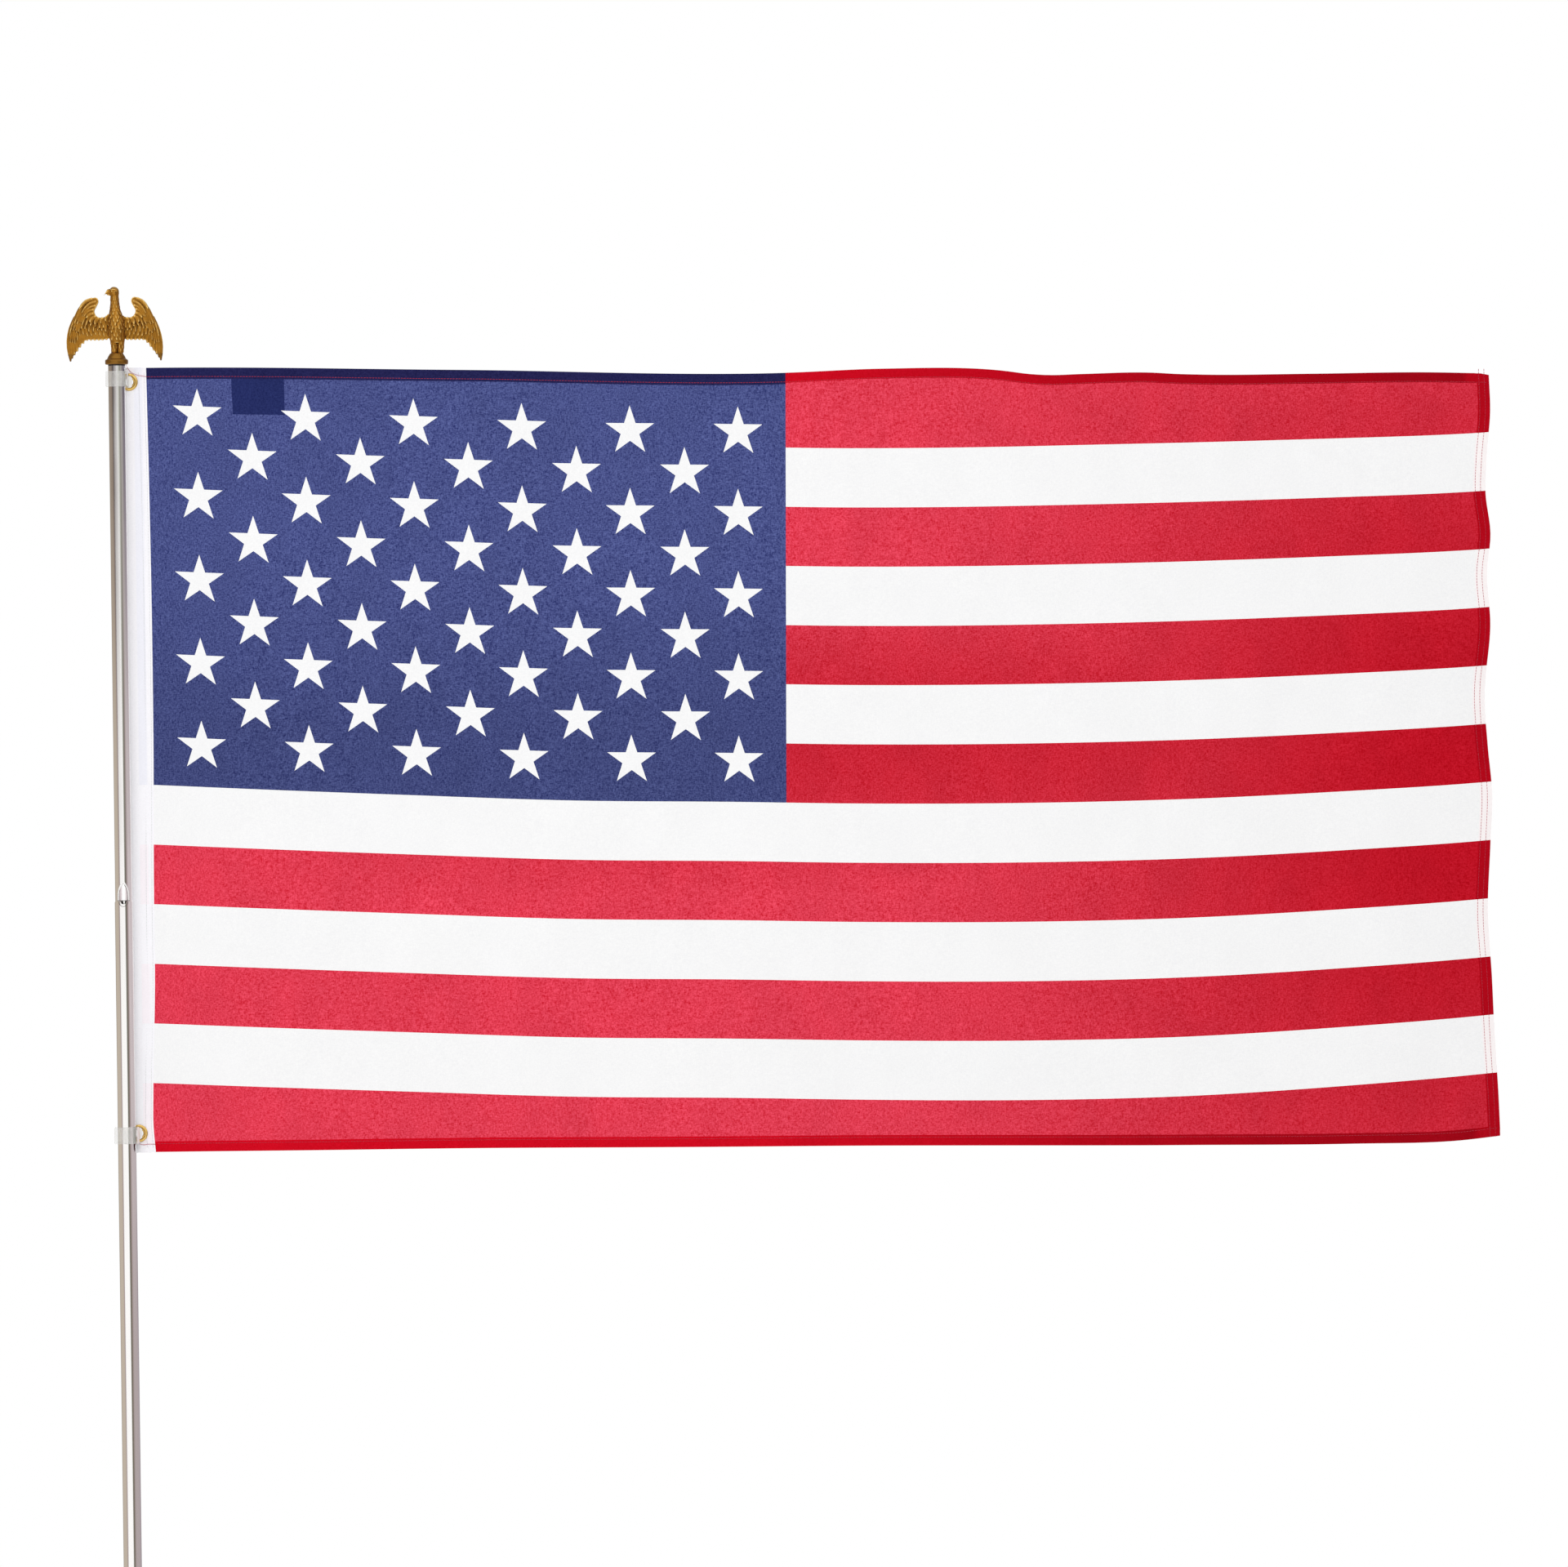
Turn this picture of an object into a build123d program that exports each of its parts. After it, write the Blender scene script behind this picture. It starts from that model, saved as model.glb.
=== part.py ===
from build123d import *
import os

# Flag pole stand: a round weighted floor stand, a two-piece telescoping pole with a sprung catch,
# an eagle finial and a 3 x 5 ft flag that turns about the pole on two clip rings.
# Millimetres. +Z up. Origin on the pole's axis at the underside of the stand.
# +X runs from the pole towards the flag's fly edge, and the flag hangs just behind the pole (+Y).

# ---- driving dimensions -------------------------------------------------------------------------
POLE_LENGTH = 1829.0            # 6 ft, from the pole's foot to the top of the upper tube
POLE_FOOT_Z = 11.0              # where the pole's foot rests in the socket
POLE_TOP_Z = POLE_FOOT_Z + POLE_LENGTH

LOWER_TUBE_R = 10.1             # 20.2 mm tube
LOWER_TUBE_BORE_R = 9.6
UPPER_TUBE_R = 9.525            # 19.05 mm (3/4 in) tube
UPPER_TUBE_BORE_R = 8.725
UPPER_TUBE_SHOWN = 596.0        # length of upper tube above the lower tube's rim
TUBE_OVERLAP = 150.0            # length of upper tube inside the lower tube
RIM_Z = POLE_TOP_Z - UPPER_TUBE_SHOWN
UPPER_TUBE_FOOT_Z = RIM_Z - TUBE_OVERLAP

BASE_R = 150.0
COVER_WALL = 1.5
PAD_THICKNESS = 3.0
SOCKET_R = 14.0
SOCKET_BORE_R = 10.5
SOCKET_TOP_Z = 118.0
COLLAR_R = 20.0
COLLAR_FOOT_Z = 98.0
COLLAR_LIP = 3.5                # the collar's top stands this much above the socket
CLAMP_Z = 108.0
CLAMP_SCREW_R = 3.0
KNOB_R = 9.0
KNOB_LENGTH = 11.0

FLAG_FRONT_Y = 14.8             # front face of the cloth, just behind the clip rings
FIELD_THICKNESS = 0.8
HEADING_THICKNESS = 1.2
HEADING_X = (1.5, 32.5)         # heading strip, from beside the pole to the printed field
FLAG_TOP_Z = POLE_TOP_Z - 2.0
FLAG_FOOT_Z = POLE_TOP_Z - 876.0
FLY_X = 1524.0

GROMMET_X = 13.3
GROMMET_R = 9.4
GROMMET_HOLE_R = 4.6
BARREL_R = GROMMET_HOLE_R + 0.8
GROMMET_ZS = {"upper": POLE_TOP_Z - 17.6, "lower": POLE_TOP_Z - 854.0}
RING_CLEARANCE = 0.09

FIT_GAP = 0.05                  # radial gap between pieces that are only set into each other


def turned(*points, arcs=()):
    """A solid of revolution about Z, from (radius, z) points with one corner radius per inner point."""
    outline = FilletPolyline(*points, radius=list(arcs)) if arcs else Polyline(*points)
    closing = Line(points[-1], points[0])
    return revolve(Plane.XZ * make_face([*outline.edges(), closing]), Axis.Z)


def disc(radius, low, high, bore=0.0):
    """A round plate or tube between two heights, with an optional bore."""
    solid = Pos(0, 0, low) * Cylinder(radius, high - low, align=(Align.CENTER, Align.CENTER, Align.MIN))
    if bore:
        solid -= Pos(0, 0, low) * Cylinder(bore, high - low, align=(Align.CENTER, Align.CENTER, Align.MIN))
    return solid


def rod_along_x(radius, start, end, z):
    """A round bar along X between two x positions at height z."""
    length = end - start
    return Pos((start + end) / 2, 0, z) * Rot(0, 90, 0) * Cylinder(radius, length)


def rod_along_y(radius, start, end, x, z):
    """A round bar along Y between two y positions."""
    return Pos(x, (start + end) / 2, z) * Rot(90, 0, 0) * Cylinder(radius, end - start)


# ---- stand --------------------------------------------------------------------------------------
SKIRT_Z = 2.5
SHOULDER_Z = 18.0
HUB_FOOT = (34.0, 34.0)         # where the dished top turns up into the hub, (radius, z)
HUB_TOP_Z = 58.0
WEIGHT_TOP_Z = 27.0
STEM_R = 12.0                   # threaded lower end of the socket tube
STEM_BORE_R = 7.5
STEM_FOOT_Z = 5.0
SOCKET_FLOOR_Z = 8.0
WASHER_R = 22.0
WASHER_THICKNESS = 1.6
NUT_RADIUS = 19.5               # across the corners, halved
NUT_HEIGHT = 8.0
NUT_POCKET_R = 26.0
NUT_POCKET_TOP_Z = 16.0


def cover_body(inset, foot_z):
    """The spun cover's outer shape, or its hollow when inset is the wall thickness."""
    hub_r = SOCKET_R + 1.6 + COVER_WALL - inset
    return turned(
        (0, foot_z),
        (BASE_R - inset, foot_z),
        (BASE_R - inset, SHOULDER_Z - inset),
        (HUB_FOOT[0] - inset, HUB_FOOT[1] - inset),
        (hub_r, HUB_TOP_Z - inset),
        (0, HUB_TOP_Z - inset),
        arcs=(0.2, 9.0 - inset, 14.0 + inset, 2.4 - inset),
    )


def base_cover():
    shell = cover_body(0, SKIRT_Z) - cover_body(COVER_WALL, SKIRT_Z - 5)
    return shell - disc(SOCKET_R + 0.1, 30, HUB_TOP_Z + 5)


def base_weight():
    weight = turned(
        (0, PAD_THICKNESS),
        (BASE_R - 6, PAD_THICKNESS),
        (BASE_R - 6, 11),
        (64, 18),
        (36, WEIGHT_TOP_Z),
        (0, WEIGHT_TOP_Z),
        arcs=(2, 3, 8, 2),
    )
    weight -= disc(STEM_R + 0.2, 0, WEIGHT_TOP_Z + 1)
    return weight - disc(NUT_POCKET_R, 0, NUT_POCKET_TOP_Z)


def base_pad():
    return chamfer(disc(BASE_R - 8, 0, PAD_THICKNESS).edges(), 0.6)


def socket_washer():
    return disc(WASHER_R, NUT_POCKET_TOP_Z - WASHER_THICKNESS, NUT_POCKET_TOP_Z, bore=STEM_R + 0.3)


def socket_nut():
    top = NUT_POCKET_TOP_Z - WASHER_THICKNESS
    nut = Pos(0, 0, top - NUT_HEIGHT) * extrude(RegularPolygon(NUT_RADIUS, 6), NUT_HEIGHT)
    return nut - disc(STEM_R + FIT_GAP, 0, top + 1)


def socket_tube():
    tube = turned(
        (0, STEM_FOOT_Z),
        (STEM_R, STEM_FOOT_Z),
        (STEM_R, WEIGHT_TOP_Z),
        (SOCKET_R, WEIGHT_TOP_Z),
        (SOCKET_R, SOCKET_TOP_Z),
        (0, SOCKET_TOP_Z),
    )
    tube -= disc(SOCKET_BORE_R, SOCKET_FLOOR_Z, SOCKET_TOP_Z + 1)
    tube -= disc(STEM_BORE_R, 0, SOCKET_FLOOR_Z + 1)
    return tube - rod_along_x(CLAMP_SCREW_R + 0.1, -COLLAR_R, 0, CLAMP_Z)


def rest_pad():
    return disc(SOCKET_BORE_R - 0.2, SOCKET_FLOOR_Z, POLE_FOOT_Z, bore=3)


def socket_collar():
    lip_r = LOWER_TUBE_R + 0.3
    collar = turned(
        (0, COLLAR_FOOT_Z),
        (COLLAR_R - 3, COLLAR_FOOT_Z),
        (COLLAR_R, COLLAR_FOOT_Z + 3),
        (COLLAR_R, SOCKET_TOP_Z),
        (COLLAR_R - 3, SOCKET_TOP_Z + COLLAR_LIP),
        (0, SOCKET_TOP_Z + COLLAR_LIP),
        arcs=(1.5, 1.5, 2, 1),
    )
    collar += rod_along_x(7, -COLLAR_R - 3, -SOCKET_R - 1, CLAMP_Z)
    collar -= disc(SOCKET_R + FIT_GAP, COLLAR_FOOT_Z - 1, SOCKET_TOP_Z)
    collar -= disc(lip_r, SOCKET_TOP_Z - 1, SOCKET_TOP_Z + 5)
    return collar - rod_along_x(CLAMP_SCREW_R + FIT_GAP, -COLLAR_R - 8, 0, CLAMP_Z)


def clamp_screw():
    """Thumb screw: a plain shank whose tip bears on the pole, and a lobed knob outside the collar."""
    tip_x = -(LOWER_TUBE_R + 0.08)
    knob_x = -COLLAR_R - 7.0
    screw = rod_along_x(CLAMP_SCREW_R, knob_x, tip_x, CLAMP_Z)
    knob = fillet(rod_along_x(KNOB_R, knob_x - KNOB_LENGTH, knob_x, CLAMP_Z).edges(), 1.2)
    knob_centre = Pos(knob_x - KNOB_LENGTH / 2, 0, CLAMP_Z) * Rot(0, 90, 0)
    for groove in PolarLocations(KNOB_R + 1.2, 12):
        knob -= knob_centre * groove * Cylinder(2.1, KNOB_LENGTH + 1)
    return screw + knob


# ---- pole ---------------------------------------------------------------------------------------
ARCH_WIDTH = 9.6
ARCH_HEIGHT = 20.0
ARCH_FOOT_Z = RIM_Z + 0.8
BEVEL = 2.0                     # width of the pressed edge round the catch window
NOTCH_R = 5.25                  # half-round notch in the lower tube's rim
WINDOW_FOOT_R = 3.2             # half-round foot of the window, below the tongue
CUT_REACH = 20.0                # a cut that starts at the axis and ends this far out clears any tube


def arch_outline(width, height):
    """A pointed arch with its flat foot on the local origin: two arcs that meet at the tip."""
    half = width / 2
    shoulder = height * 0.34
    bulge = half * 0.72
    mid = shoulder + (height - shoulder) * 0.5
    right = ThreePointArc((half, shoulder), (bulge, mid), (0, height))
    left = ThreePointArc((0, height), (-bulge, mid), (-half, shoulder))
    sides = Polyline((-half, shoulder), (-half, 0), (half, 0), (half, shoulder))
    return make_face([right, left, *sides.edges()])


def arch_prism(width, height, foot_z):
    """The arch carried from the pole's axis out through the front wall of the tube."""
    return extrude(Pos(0, 0, foot_z) * (Plane.XZ * arch_outline(width, height)), CUT_REACH, dir=(0, -1, 0))


def upper_tube():
    tube = disc(UPPER_TUBE_R, UPPER_TUBE_FOOT_Z, POLE_TOP_Z, bore=UPPER_TUBE_BORE_R)
    bevel_tool = arch_prism(ARCH_WIDTH + 2 * BEVEL, ARCH_HEIGHT + 1.6 * BEVEL, ARCH_FOOT_Z)
    bevel_tool -= Cylinder(UPPER_TUBE_R - 0.35, 3 * POLE_LENGTH)
    tube -= bevel_tool
    tube -= rod_along_y(WINDOW_FOOT_R, -CUT_REACH, 0, 0, ARCH_FOOT_Z)
    return tube - arch_prism(ARCH_WIDTH, ARCH_HEIGHT, ARCH_FOOT_Z)


CATCH_TILT = 4.0                # degrees that the tongue's free end stands out of the tube
CATCH_PIVOT_Z = ARCH_FOOT_Z + ARCH_HEIGHT - 1.0


def catch_tongue():
    """The pointed tongue: a curved patch that leans out of its window about the arch's tip."""
    gap = 0.35
    patch = disc(UPPER_TUBE_R - 0.1, ARCH_FOOT_Z - 5, CATCH_PIVOT_Z + 5, bore=UPPER_TUBE_BORE_R)
    patch &= arch_prism(ARCH_WIDTH - 2 * gap, ARCH_HEIGHT - 2 * gap, ARCH_FOOT_Z + gap)
    pivot = Axis((0, -UPPER_TUBE_R, CATCH_PIVOT_Z), (1, 0, 0))
    return patch.rotate(pivot, -CATCH_TILT)


def catch_spring():
    """A bent leaf that presses the tongue out from the far wall of the tube."""
    leaf_r = 0.25
    back_y = UPPER_TUBE_BORE_R - 0.9
    path = FilletPolyline(
        (back_y, CATCH_PIVOT_Z + 14),
        (back_y, CATCH_PIVOT_Z - 20),
        (-UPPER_TUBE_BORE_R + 2.2, CATCH_PIVOT_Z - 8),
        (-UPPER_TUBE_BORE_R + 2.2, CATCH_PIVOT_Z - 1),
        radius=3.0,
    )
    ribbon = offset(path, leaf_r, side=Side.BOTH)
    return extrude(Plane.YZ * make_face(ribbon.edges()), 2.5, both=True)


def glide_plug():
    plug = turned(
        (0, UPPER_TUBE_FOOT_Z - 4),
        (LOWER_TUBE_BORE_R - 0.06, UPPER_TUBE_FOOT_Z - 4),
        (LOWER_TUBE_BORE_R - 0.06, UPPER_TUBE_FOOT_Z),
        (UPPER_TUBE_BORE_R - FIT_GAP, UPPER_TUBE_FOOT_Z),
        (UPPER_TUBE_BORE_R - FIT_GAP, UPPER_TUBE_FOOT_Z + 14),
        (0, UPPER_TUBE_FOOT_Z + 14),
    )
    return plug - disc(4, UPPER_TUBE_FOOT_Z - 5, UPPER_TUBE_FOOT_Z + 15)


END_CAP_THICKNESS = 3.0


def lower_tube():
    tube = disc(LOWER_TUBE_R, POLE_FOOT_Z + END_CAP_THICKNESS, RIM_Z, bore=LOWER_TUBE_BORE_R)
    return tube - rod_along_y(NOTCH_R, -CUT_REACH, 0, 0, RIM_Z)


def pole_end_cap():
    return turned(
        (0, POLE_FOOT_Z),
        (LOWER_TUBE_R - 0.8, POLE_FOOT_Z),
        (LOWER_TUBE_R, POLE_FOOT_Z + 0.8),
        (LOWER_TUBE_R, POLE_FOOT_Z + END_CAP_THICKNESS),
        (LOWER_TUBE_BORE_R - FIT_GAP, POLE_FOOT_Z + END_CAP_THICKNESS),
        (LOWER_TUBE_BORE_R - FIT_GAP, POLE_FOOT_Z + 20),
        (0, POLE_FOOT_Z + 20),
    )


# ---- finial -------------------------------------------------------------------------------------
PLUG_SHOULDER = 1.5
PLUG_FOOT_Z = POLE_TOP_Z - 28.0
SCREW_R = 2.1
SCREW_HOLE_R = 2.2
SCREW_HEAD_R = 4.0
SCREW_HEAD_TOP_Z = POLE_TOP_Z - 6.0
SCREW_BITE = 9.0                # how far the screw goes up into the casting
EAGLE_Z = POLE_TOP_Z + PLUG_SHOULDER
FLANGE_R = 12.8
WING_THICKNESS = 5.0
WING_SWEEP = 12.0               # degrees that each wing leans back


def finial_plug():
    plug = turned(
        (0, PLUG_FOOT_Z),
        (UPPER_TUBE_BORE_R - 1, PLUG_FOOT_Z),
        (UPPER_TUBE_BORE_R - FIT_GAP, PLUG_FOOT_Z + 2),
        (UPPER_TUBE_BORE_R - FIT_GAP, POLE_TOP_Z),
        (UPPER_TUBE_R, POLE_TOP_Z),
        (UPPER_TUBE_R, EAGLE_Z),
        (0, EAGLE_Z),
    )
    plug -= disc(SCREW_HOLE_R, PLUG_FOOT_Z - 1, EAGLE_Z + 1)
    return plug - disc(SCREW_HEAD_R + 0.4, PLUG_FOOT_Z - 1, SCREW_HEAD_TOP_Z)


def finial_screw():
    """Pan-head screw that holds the plug up into the finial."""
    head = disc(SCREW_HEAD_R, SCREW_HEAD_TOP_Z - 2.6, SCREW_HEAD_TOP_Z)
    return head + disc(SCREW_R, SCREW_HEAD_TOP_Z, EAGLE_Z + SCREW_BITE)


def finial_foot():
    """Flange and dome under the eagle's feet."""
    return turned(
        (0, 0), (FLANGE_R, 0), (FLANGE_R, 5.7), (10.4, 5.9), (7.4, 12.5), (0, 13.5),
        arcs=(1.2, 2.2, 0.8, 1.5),
    )


def eagle_body():
    """Legs, breast and neck as one loft of ellipses up the bird."""
    stations = [                # height, centre x, half width, half depth
        (11.0, 1.0, 6.6, 6.0),
        (20.0, 1.0, 6.4, 6.2),
        (28.0, 0.3, 8.8, 8.6),
        (45.0, 0.0, 10.6, 10.4),
        (56.0, -0.6, 8.8, 8.6),
        (66.0, -1.2, 5.0, 5.4),
        (75.0, -1.6, 4.6, 4.8),
    ]
    sections = [Pos(x, 0, z) * Ellipse(a, b) for z, x, a, b in stations]
    return loft(sections)


def eagle_head():
    head = Pos(-2.6, 0, 80) * Sphere(6.2)
    beak = Pos(-10.2, 0, 79.2) * Rot(0, -80, 0) * Cone(3.4, 0.6, 8)
    return head + beak


def wing_outline():
    """The left wing from the front: straight lower edge, scalloped feather tips, raised shoulder."""
    lower = Polyline((-4, 27.4), (-33.5, 27.0), (-39, 21.5), (-45, 14), (-50, 8), (-52.5, 3.6))
    outer = Spline(
        (-52.5, 3.6), (-55, 24), (-53.4, 38.5), (-47.3, 54), (-38.3, 68.5), (-25.4, 74.6), (-20.9, 71.8)
    )
    inner = Spline((-20.9, 71.8), (-26.2, 60.5), (-18.8, 51.9), (-4, 57))
    closing = Line((-4, 57), (-4, 27.4))
    return make_face([*lower.edges(), outer, inner, closing])


def eagle_wing(side):
    """One wing plate, leaned back about its root. side is -1 for the left wing and 1 for the right."""
    plate = extrude(Plane.XZ * wing_outline(), WING_THICKNESS / 2, both=True)
    plate = Pos(-4, 1.5, 0) * Rot(0, 0, -WING_SWEEP) * Pos(4, 0, 0) * plate
    if side > 0:
        plate = Pos(-2.5, 0, 0) * mirror(plate, Plane.YZ)
    return plate


def eagle_finial():
    eagle = finial_foot() + eagle_body() + eagle_head() + eagle_wing(-1) + eagle_wing(1)
    eagle = Pos(0, 0, EAGLE_Z) * eagle
    return eagle - disc(SCREW_HOLE_R, EAGLE_Z - 1, EAGLE_Z + SCREW_BITE + 0.5)


# ---- flag ---------------------------------------------------------------------------------------
def cloth_plate(outline, thickness):
    """A flat outline in XZ made into a plate whose front face is the flag's front plane."""
    return extrude(Pos(0, FLAG_FRONT_Y, 0) * (Plane.XZ * outline), thickness, dir=(0, 1, 0))


def flag_heading():
    low, high = HEADING_X
    foot, top = FLAG_FOOT_Z, FLAG_TOP_Z
    strip = Polyline((low, foot), (high, foot), (high, top), (low, top), close=True)
    heading = cloth_plate(make_face(strip), HEADING_THICKNESS)
    for z in GROMMET_ZS.values():
        heading -= rod_along_y(GROMMET_HOLE_R + 1.2, 0, 2 * FLAG_FRONT_Y, GROMMET_X, z)
    return heading


def flag_field():
    """The printed field: level foot, and a top edge that droops towards the fly."""
    left = HEADING_X[1]
    top = Spline(
        (left, FLAG_TOP_Z),
        (745, FLAG_TOP_Z - 15),
        (1190, FLAG_TOP_Z - 23),
        (FLY_X, FLAG_TOP_Z - 27),
    )
    foot = Spline(
        (left, FLAG_FOOT_Z),
        (600, FLAG_FOOT_Z - 1),
        (1350, FLAG_FOOT_Z - 7),
        (FLY_X + 3, FLAG_FOOT_Z - 3),
    )
    fly = Line(top @ 1, foot @ 1)
    hoist = Line(top @ 0, foot @ 0)
    return cloth_plate(make_face([top, fly, foot, hoist]), FIELD_THICKNESS)


def care_label():
    """A small blank label sewn to the back of the field under the top hem."""
    back = FLAG_FRONT_Y + FIELD_THICKNESS
    return Pos(155.5, back + 0.2, POLE_TOP_Z - 36) * Box(59, 0.4, 38)


def grommet(z):
    """Brass eyelet: rolled front flange and the barrel that passes through the heading."""
    front = FLAG_FRONT_Y
    flange = rod_along_y(GROMMET_R, front - 1.3, front, GROMMET_X, z)
    flange = fillet(flange.faces().sort_by(Axis.Y)[0].edges(), 1.1)
    barrel = rod_along_y(BARREL_R, front, front + 2.2, GROMMET_X, z)
    return flange + barrel - rod_along_y(GROMMET_HOLE_R, 0, 2 * front, GROMMET_X, z)


def grommet_washer(z):
    start = FLAG_FRONT_Y + HEADING_THICKNESS
    washer = rod_along_y(GROMMET_R - 0.6, start, start + 0.9, GROMMET_X, z)
    return washer - rod_along_y(BARREL_R + FIT_GAP, 0, 2 * start, GROMMET_X, z)


HOOK_R = 2.2
HOOK_BACK_Y = FLAG_FRONT_Y + 5.0    # centre of the finger that turns up behind the heading
FINGER_LENGTH = 9.0
STRAP_HEIGHT = 13.0
STRAP_THICKNESS = 1.6
STRAP_BACK_Y = 12.9
STRAP_END_X = 16.2


def clip_strap(z):
    """Flat strap that leaves the back of the ring and ends in front of the grommet."""
    plate = Box(STRAP_END_X, STRAP_THICKNESS, STRAP_HEIGHT)
    plate = Pos(STRAP_END_X / 2, STRAP_BACK_Y - STRAP_THICKNESS / 2, z) * plate
    end_edges = plate.edges().filter_by(Axis.Y).sort_by(Axis.X)[-2:]
    return fillet(end_edges, 3.0)


def clip_ring(tube_r, wall, z, height, hook_z):
    """Clear plastic ring and strap, with a hook through the grommet that turns up behind it."""
    bore = tube_r + RING_CLEARANCE
    ring = fillet(disc(bore + wall, z - height / 2, z + height / 2).edges(), 1.2)
    peg = rod_along_y(HOOK_R, STRAP_BACK_Y - 1, HOOK_BACK_Y + HOOK_R, GROMMET_X, hook_z)
    finger = Pos(GROMMET_X, HOOK_BACK_Y, hook_z + FINGER_LENGTH / 2) * Cylinder(HOOK_R - 0.2, FINGER_LENGTH)
    return ring + clip_strap(hook_z) + peg + finger - disc(bore, z - height, z + height)


# ---- all the pieces -----------------------------------------------------------------------------
nodes = {
    "base_pad": base_pad(),
    "base_weight": base_weight(),
    "base_cover": base_cover(),
    "socket_tube": socket_tube(),
    "socket_washer": socket_washer(),
    "socket_nut": socket_nut(),
    "rest_pad": rest_pad(),
    "socket_collar": socket_collar(),
    "clamp_screw": clamp_screw(),
    "pole_end_cap": pole_end_cap(),
    "lower_tube": lower_tube(),
    "glide_plug": glide_plug(),
    "upper_tube": upper_tube(),
    "catch_tongue": catch_tongue(),
    "catch_spring": catch_spring(),
    "finial_plug": finial_plug(),
    "finial_screw": finial_screw(),
    "eagle_finial": eagle_finial(),
    "flag_heading": flag_heading(),
    "flag_field": flag_field(),
    "care_label": care_label(),
    "upper_clip": clip_ring(UPPER_TUBE_R, 3.0, POLE_TOP_Z - 14.5, 17.3, GROMMET_ZS["upper"]),
    "lower_clip": clip_ring(LOWER_TUBE_R, 3.8, POLE_TOP_Z - 855.7, 18.6, GROMMET_ZS["lower"]),
}
for place, grommet_z in GROMMET_ZS.items():
    nodes[f"{place}_grommet"] = grommet(grommet_z)
    nodes[f"{place}_washer"] = grommet_washer(grommet_z)

os.makedirs("parts", exist_ok=True)
for name, shape in nodes.items():
    shape.label = name
    export_step(shape, f"parts/{name}.step")
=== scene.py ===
import math
import bmesh
import bpy
import numpy as np
from mathutils import Matrix, Vector, geometry, kdtree


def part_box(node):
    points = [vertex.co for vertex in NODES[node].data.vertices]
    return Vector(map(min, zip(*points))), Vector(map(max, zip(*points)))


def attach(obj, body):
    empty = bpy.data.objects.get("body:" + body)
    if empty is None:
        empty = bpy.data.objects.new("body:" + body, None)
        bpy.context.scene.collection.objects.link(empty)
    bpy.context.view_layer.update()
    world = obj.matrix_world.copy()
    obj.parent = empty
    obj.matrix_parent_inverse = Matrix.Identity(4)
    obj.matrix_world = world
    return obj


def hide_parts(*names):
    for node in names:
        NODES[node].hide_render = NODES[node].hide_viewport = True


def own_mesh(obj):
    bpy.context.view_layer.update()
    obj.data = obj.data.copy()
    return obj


# Flag pole stand: the looks built round the CAD frame. The frame is in metres, +Z up.
# The flag is laid out in millimetres as (x, depth): x from the pole's axis towards the fly edge,
# depth down from DATUM, a level 3 mm above the heading's top.

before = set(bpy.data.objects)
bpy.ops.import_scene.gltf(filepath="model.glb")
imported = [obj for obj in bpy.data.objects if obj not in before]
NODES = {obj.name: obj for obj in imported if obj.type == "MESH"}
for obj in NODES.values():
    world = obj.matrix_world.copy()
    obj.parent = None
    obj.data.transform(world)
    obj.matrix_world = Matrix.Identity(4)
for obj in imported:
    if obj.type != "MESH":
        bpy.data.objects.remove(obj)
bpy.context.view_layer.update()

MM = 0.001
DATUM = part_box("flag_heading")[1].z + 3.0 * MM
UPPER_TUBE_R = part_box("upper_tube")[1].x
LOWER_TUBE_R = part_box("lower_tube")[1].x
RIM_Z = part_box("lower_tube")[1].z
CLOTH_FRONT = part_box("flag_heading")[0].y
EAGLE_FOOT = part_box("eagle_finial")[0].z


# ---- general helpers ----------------------------------------------------------------------------
def through(*points):
    """A smooth curve y(x) through a few points, as a function of a number or an array."""
    xs, ys = np.array(points, float).T
    slopes = np.gradient(ys, xs)

    def value(x):
        x = np.clip(x, xs[0], xs[-1])
        i = np.clip(np.searchsorted(xs, x) - 1, 0, len(xs) - 2)
        span = xs[i + 1] - xs[i]
        t = (x - xs[i]) / span
        start = ys[i] * (1 + 2 * t) * (1 - t) ** 2 + ys[i + 1] * t * t * (3 - 2 * t)
        return start + span * t * (1 - t) * (slopes[i] * (1 - t) - slopes[i + 1] * t)

    return value


def ease(x, low, high):
    """0 below low, 1 above high, and smooth between."""
    t = np.clip((x - low) / (high - low), 0, 1)
    return t * t * (3 - 2 * t)


def link_object(name, data):
    """Links data into the scene as a new object."""
    made = bpy.data.objects.new(name, data)
    bpy.context.scene.collection.objects.link(made)
    return made


def add_object(name, data, body, materials):
    """Links a mesh or curve into the scene as a piece that rides on a CAD body."""
    piece = link_object(name, data)
    for material in materials:
        data.materials.append(material)
    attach(piece, body)
    return piece


def mesh_from(name, points, faces):
    mesh = bpy.data.meshes.new(name)
    mesh.from_pydata([tuple(p) for p in points], [], faces)
    mesh.update()
    mesh.shade_smooth()
    return mesh


def quads(rows, columns, wrap=False, first=0):
    """Quads over points stored row by row from first; wrap joins the last column to the first."""
    faces = []
    for i in range(rows - 1):
        for j in range(columns if wrap else columns - 1):
            a = first + i * columns + j
            b = first + i * columns + (j + 1) % columns
            faces.append((a, b, b + columns, a + columns))
    return faces


def apply_modifiers(piece, sharp_angle=None):
    """Bakes the modifiers into the piece's own mesh."""
    depsgraph = bpy.context.evaluated_depsgraph_get()
    mesh = bpy.data.meshes.new_from_object(piece.evaluated_get(depsgraph))
    mesh.name = piece.name
    piece.modifiers.clear()
    piece.data = mesh
    if sharp_angle:
        mesh.set_sharp_from_angle(angle=math.radians(sharp_angle))


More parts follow.
